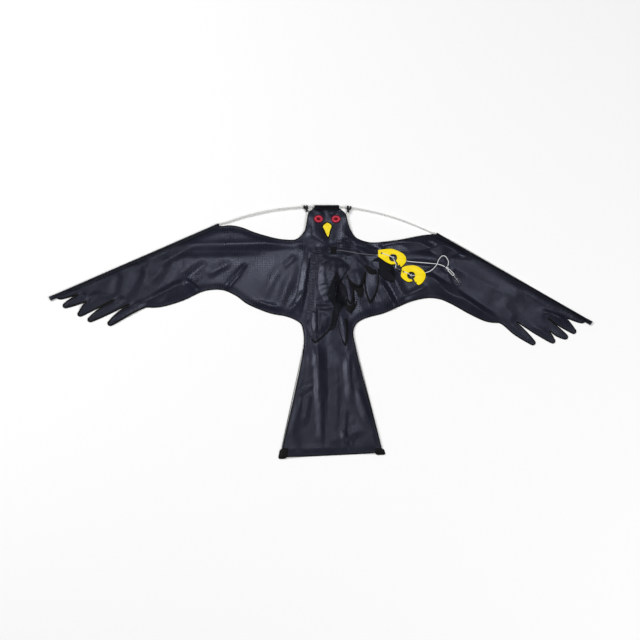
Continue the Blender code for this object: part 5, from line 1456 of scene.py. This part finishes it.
# Painted shade: dark sheets in the fold beside the pouch, under the breast feathers, in the gap
# between feathers and at the short feather's tip
shade_patch("belly_fold_shade",
           [(337, 273), (341, 281), (345.5, 288), (348, 297), (346, 304), (341, 311), (338, 319),
            (334, 329), (330, 331), (332.5, 319), (334, 309), (331, 303.5), (327.5, 298),
            (330, 288), (333.5, 279)], 31.0, 1.6, PAINTED_SHADE_LOOK, 0.0026)
shade_patch("breast_tip_shade",
           [(344.5, 302), (349.5, 306.5), (354, 305), (357.5, 300), (356, 307), (351, 313.5),
            (346.5, 310)], 33.0, 0.8, HEM_AND_SHADE_LOOK, 0.0020)
shade_patch("feather_gap_shade",
           [(348, 277.5), (352.5, 284), (359, 288.5), (363.5, 287.5), (364, 292), (362, 298),
            (359, 297), (356.5, 292), (350.5, 287), (348.5, 282.5)], 35.0, 0.6, HEM_AND_SHADE_LOOK, 0.0020)
shade_patch("short_feather_tip_shade",
           [(365, 265.5), (369, 267.5), (375, 271.5), (377, 273), (374, 275), (369, 274),
            (366, 270)], 37.0, 0.7, HEM_AND_SHADE_LOOK, 0.0020)
hem_tree = cloth("belly_hem", node_loop("pouch_hem", 0.0022, 40), 0.0020, SHINY_LOOK, hem_shape, 5,
                 "pouch_hem")[1]
stitch_rows("belly_hem_stitches", "pouch_hem", hem_tree, (1 / 3, 2 / 3), 0.002, 0.0026, 0.0010)
tab_tree = cloth("tab_webbing", node_loop("line_tab", 0.0020, 40), 0.0018, WEBBING_LOOK,
                 plain(0.0005), 5, "line_tab")[1]
stitch_rows("tab_stitches", "line_tab", tab_tree, (0.14, 0.86), 0.001, 0.0022, 0.0008)


# Winders, with the cord and the knots on them
def plate(name, loops, low, high, edge):
    """A flat plate with holes and rounded edges: the first loop is its outline."""
    steps = [(edge, low), (edge * 0.3, low + edge * 0.3), (0.0, low + edge), (0.0, high - edge),
             (edge * 0.3, high - edge * 0.3), (edge, high)]
    verts = []
    faces = []
    flat = []
    edges = []
    lower = []
    upper = []
    for loop in loops:
        count = len(loop)
        first = len(verts)
        for inset, level in steps:
            verts += [(*(point + left_of(way) * inset), level)
                      for point, way in zip(loop, ways_along(loop, True))]
        for base in range(first, len(verts) - count, count):
            faces += [(base + k, base + (k + 1) % count, base + count + (k + 1) % count,
                       base + count + k) for k in range(count)]
        edges += [(len(flat) + k, len(flat) + (k + 1) % count) for k in range(count)]
        lower += range(first, first + count)
        upper += range(len(verts) - count, len(verts))
        flat += [Vector(vert[:2]) for vert in verts[-count:]]
    corners, _, cells, origins, _, _ = delaunay_2d_cdt(flat, edges, [], 0, WELD / 4)
    spots = np.array([(p.x, p.y) for p in corners])
    cells = np.array([list(cell) for cell in cells])
    middles = spots[cells].mean(axis=1)
    start = len(loops[0])
    kept = inside_many(middles, flat[:start])
    for loop in loops[1:]:
        kept &= ~inside_many(middles, flat[start:start + len(loop)])
        start += len(loop)
    for cell in cells[kept]:
        if all(origins[k] for k in cell):
            a, b, c = (origins[k][0] for k in cell)
            if (flat[b] - flat[a]).cross(flat[c] - flat[a]) <= 0:
                b, c = c, b
            faces += [(upper[a], upper[b], upper[c]), (lower[a], lower[c], lower[b])]
    return new_mesh(name, verts, faces)


HUB_EDGE = 0.0093
HUB_SPARE = 0.0018
HUB_FADE = 0.004
PLATE_EDGE = 0.00045
KNOT_WIRE = 0.00070
KNOT_REACH = 0.0034
LACE_HOLE_RADIUS = 0.0026
LACE_SAG = 0.0006


def opened(point, hub):
    """A point of a winder's outline, moved out a little if it lies at the hub hole's edge."""
    distance = (point - hub).length
    share = clamped(1 - (distance - HUB_EDGE) / HUB_FADE)
    return hub + (point - hub) * (1 + HUB_SPARE * share / distance)


def knot(name, node, centre, axis, half_length, body="kite"):
    """A pulled-tight knot: one strand wound three times round itself within the knot's solid."""
    first = axis.orthogonal().normalized()
    second = axis.cross(first)
    size = (KNOT_REACH - KNOT_WIRE) / 3
    rise = half_length - KNOT_WIRE
    path = [centre + first * size * (math.sin(t) + 2 * math.sin(2 * t))
            + second * size * (math.cos(t) - 2 * math.cos(2 * t)) - axis * rise * math.sin(3 * t)
            for t in (math.tau * k / 180 for k in range(180))]

    def strand(angle, travelled):
        return braided(angle, travelled) * KNOT_WIRE / (CORD_DIAMETER / 2)
    add_piece(name, sweep(name, path, strand, 10, True), BRAID_LOOK, body, node, 80)


def winder(label, body):
    """A moulded plate with a hub hole, a slot, a notch and a lacing hole, its edges rounded, and
    the cord out of its lacing hole and along to the knot in the hub."""
    node = label + "_winder"
    low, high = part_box(node)
    knot_middle = box_middle(label + "_hub_knot")
    hub = knot_middle.to_2d()
    rim, hole = top_loops(node)[:2]
    loops = [smooth_loop([opened(point, hub) for point in rim], 0.0009, 36),
             smooth_loop(hole, 0.0006, 60)]
    mesh = plate(node, loops, low.z, high.z, PLATE_EDGE)
    add_piece(label + "_winder_plate", mesh, WINDER_LOOK, body, node, 35)
    lace = middle_of(hole)
    way = (hub - lace).normalized().to_3d()
    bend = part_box(label + "_lacing")[1].z - CORD_DIAMETER / 2 - high.z
    edge = lace.to_3d() + way * LACE_HOLE_RADIUS + UP * high.z
    route = [edge - way * bend - UP * (high.z - low.z - GAP)]
    for angle in (math.radians(turn) for turn in range(180, 80, -15)):
        route.append(edge + way * bend * math.cos(angle) + UP * bend * math.sin(angle))
    end = hub.to_3d() + UP * (high.z + bend) - way * (KNOT_REACH + GAP)
    sag = route[-1].lerp(end, 0.5) + UP.cross(way) * LACE_SAG
    cord_piece(label + "_lacing_braid", label + "_lacing",
               smooth_path(route + [sag, end], CORD_STEP), BRAID_LOOK, body)
    knot(label + "_hub_knot_braid", label + "_hub_knot", knot_middle, UP,
         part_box(label + "_hub_knot")[1].z - knot_middle.z)


winder("upper", "upper_winder")
winder("lower", "kite")

# The knot and the doubled loop at the bridle's end
JOIN = Vector((0.3262, -0.1840, 0)) + KITE_OFFSET
LOOP_END = Vector((0.3450, -0.2050, 0)) + KITE_OFFSET
LOOP_WIDTH = 0.0052
KNOT_SHIFT = 0.0002
KNOT_HALF = 0.0042
join_way = (LOOP_END - JOIN).normalized()
join_level = box_middle("bridle_knot").z
knot("bridle_knot_braid", "bridle_knot", JOIN + UP * join_level + join_way * KNOT_SHIFT,
     join_way, KNOT_HALF)


def stadium(start, end, width, level_start, level_end):
    """A long loop whose ends lie at two levels."""
    way = (end - start).normalized()
    across = UP.cross(way)
    points = []
    for centre, turn_start, height in ((end, -90, level_end), (start, 90, level_start)):
        for angle in (math.radians(turn_start + 180 * step / 8) for step in range(9)):
            points.append(centre + (way * math.cos(angle) + across * math.sin(angle)) * width / 2
                          + UP * height)
    return points


loop_start = JOIN + join_way * (KNOT_REACH * 1.3 + GAP + LOOP_WIDTH / 2 + CORD_DIAMETER / 2)
loop_points = stadium(loop_start, LOOP_END - join_way * LOOP_WIDTH / 2, LOOP_WIDTH, join_level,
                      box_middle("end_loop").z)
cord_piece("end_loop_braid", "end_loop", even_loop(loop_points, CORD_STEP), BRAID_LOOK,
           closed=True)

RING_WALL = 0.00060
RING_HALF = 0.00125
CLIP_DEPTH = 0.0015


def stop_ring(side):
    """The stop ring on the bow between a connector's two clips."""
    node = side + "_t_connector"
    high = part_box(node)[1]
    line = even_path(smooth_path(rod_centres(side + "_bow_spar", 0), 0.004), 0.0005)
    clips = [point.x for point in node_vertices(node) if point.y > high.y - CLIP_DEPTH]
    middle = (min(clips) + max(clips)) / 2
    path = [point for point in line if abs(point.x - middle) < RING_HALF]
    ring = sweep("ring", path, lambda angle, travelled: BOW_RADIUS + RING_WALL, 28)
    add_piece(side + "_stop_ring", ring, BLACK_LOOK, smooth=40)


for side in SIDES:
    stop_ring(side)

# Finishes of the solids that are kept as they are
for look, names in ((BLACK_LOOK, ("left_t_connector", "right_t_connector")),
                    (STEEL_LOOK, ("bow_ferrule", "link_swivel_barrel", "link_swivel_shank",
                                  "end_swivel_barrel", "snap_hook", "snap_gate"))):
    for name in names:
        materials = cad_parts[name].data.materials
        materials.clear()
        materials.append(look)

# Floor, backdrop and light
FLOOR_SIZE = 12
FLOOR_DEPTH = 0.0002
FLOOR_SHADE = 0.965
WORLD_LIGHT = 0.165


def make_stage():
    """A plain pale floor that keeps the shadows, under an even white sky."""
    mesh = bpy.data.meshes.new("floor")
    work = bmesh.new()
    bmesh.ops.create_grid(work, x_segments=1, y_segments=1, size=FLOOR_SIZE)
    work.to_mesh(mesh)
    work.free()
    floor = linked("floor", mesh)
    floor.location.z = -FLOOR_DEPTH
    mesh.materials.append(Look("floor_paper").finish(base=[FLOOR_SHADE] * 3, roughness=0.9,
                                                     gloss=0.0))
    world = bpy.data.worlds.new("studio")
    bpy.context.scene.world = world
    world.use_nodes = True
    background = world.node_tree.nodes["Background"]
    background.inputs["Color"].default_value = (1.0, 1.0, 1.0, 1.0)
    background.inputs["Strength"].default_value = WORLD_LIGHT


make_stage()
for name, place, size, power in (("key_light", (-3.6, 1.6, 3.6), (2.6, 2.2), 168),
                                 ("fill_light", (3.2, -2.2, 4.2), (2.6, 2.2), 168),
                                 ("top_light", (-0.12, 2.74, 6.0), (1.4, 1.1), 52)):
    lamp = bpy.data.lights.new(name, "AREA")
    lamp.shape = "RECTANGLE"
    lamp.size, lamp.size_y = size
    lamp.energy = power
    aimed(name, lamp, place, -Vector(place))
bpy.context.scene.view_settings.view_transform = "Standard"


for node in ("upper_bridle_leg", "lower_bridle_leg"):
    path = cord_paths[node]
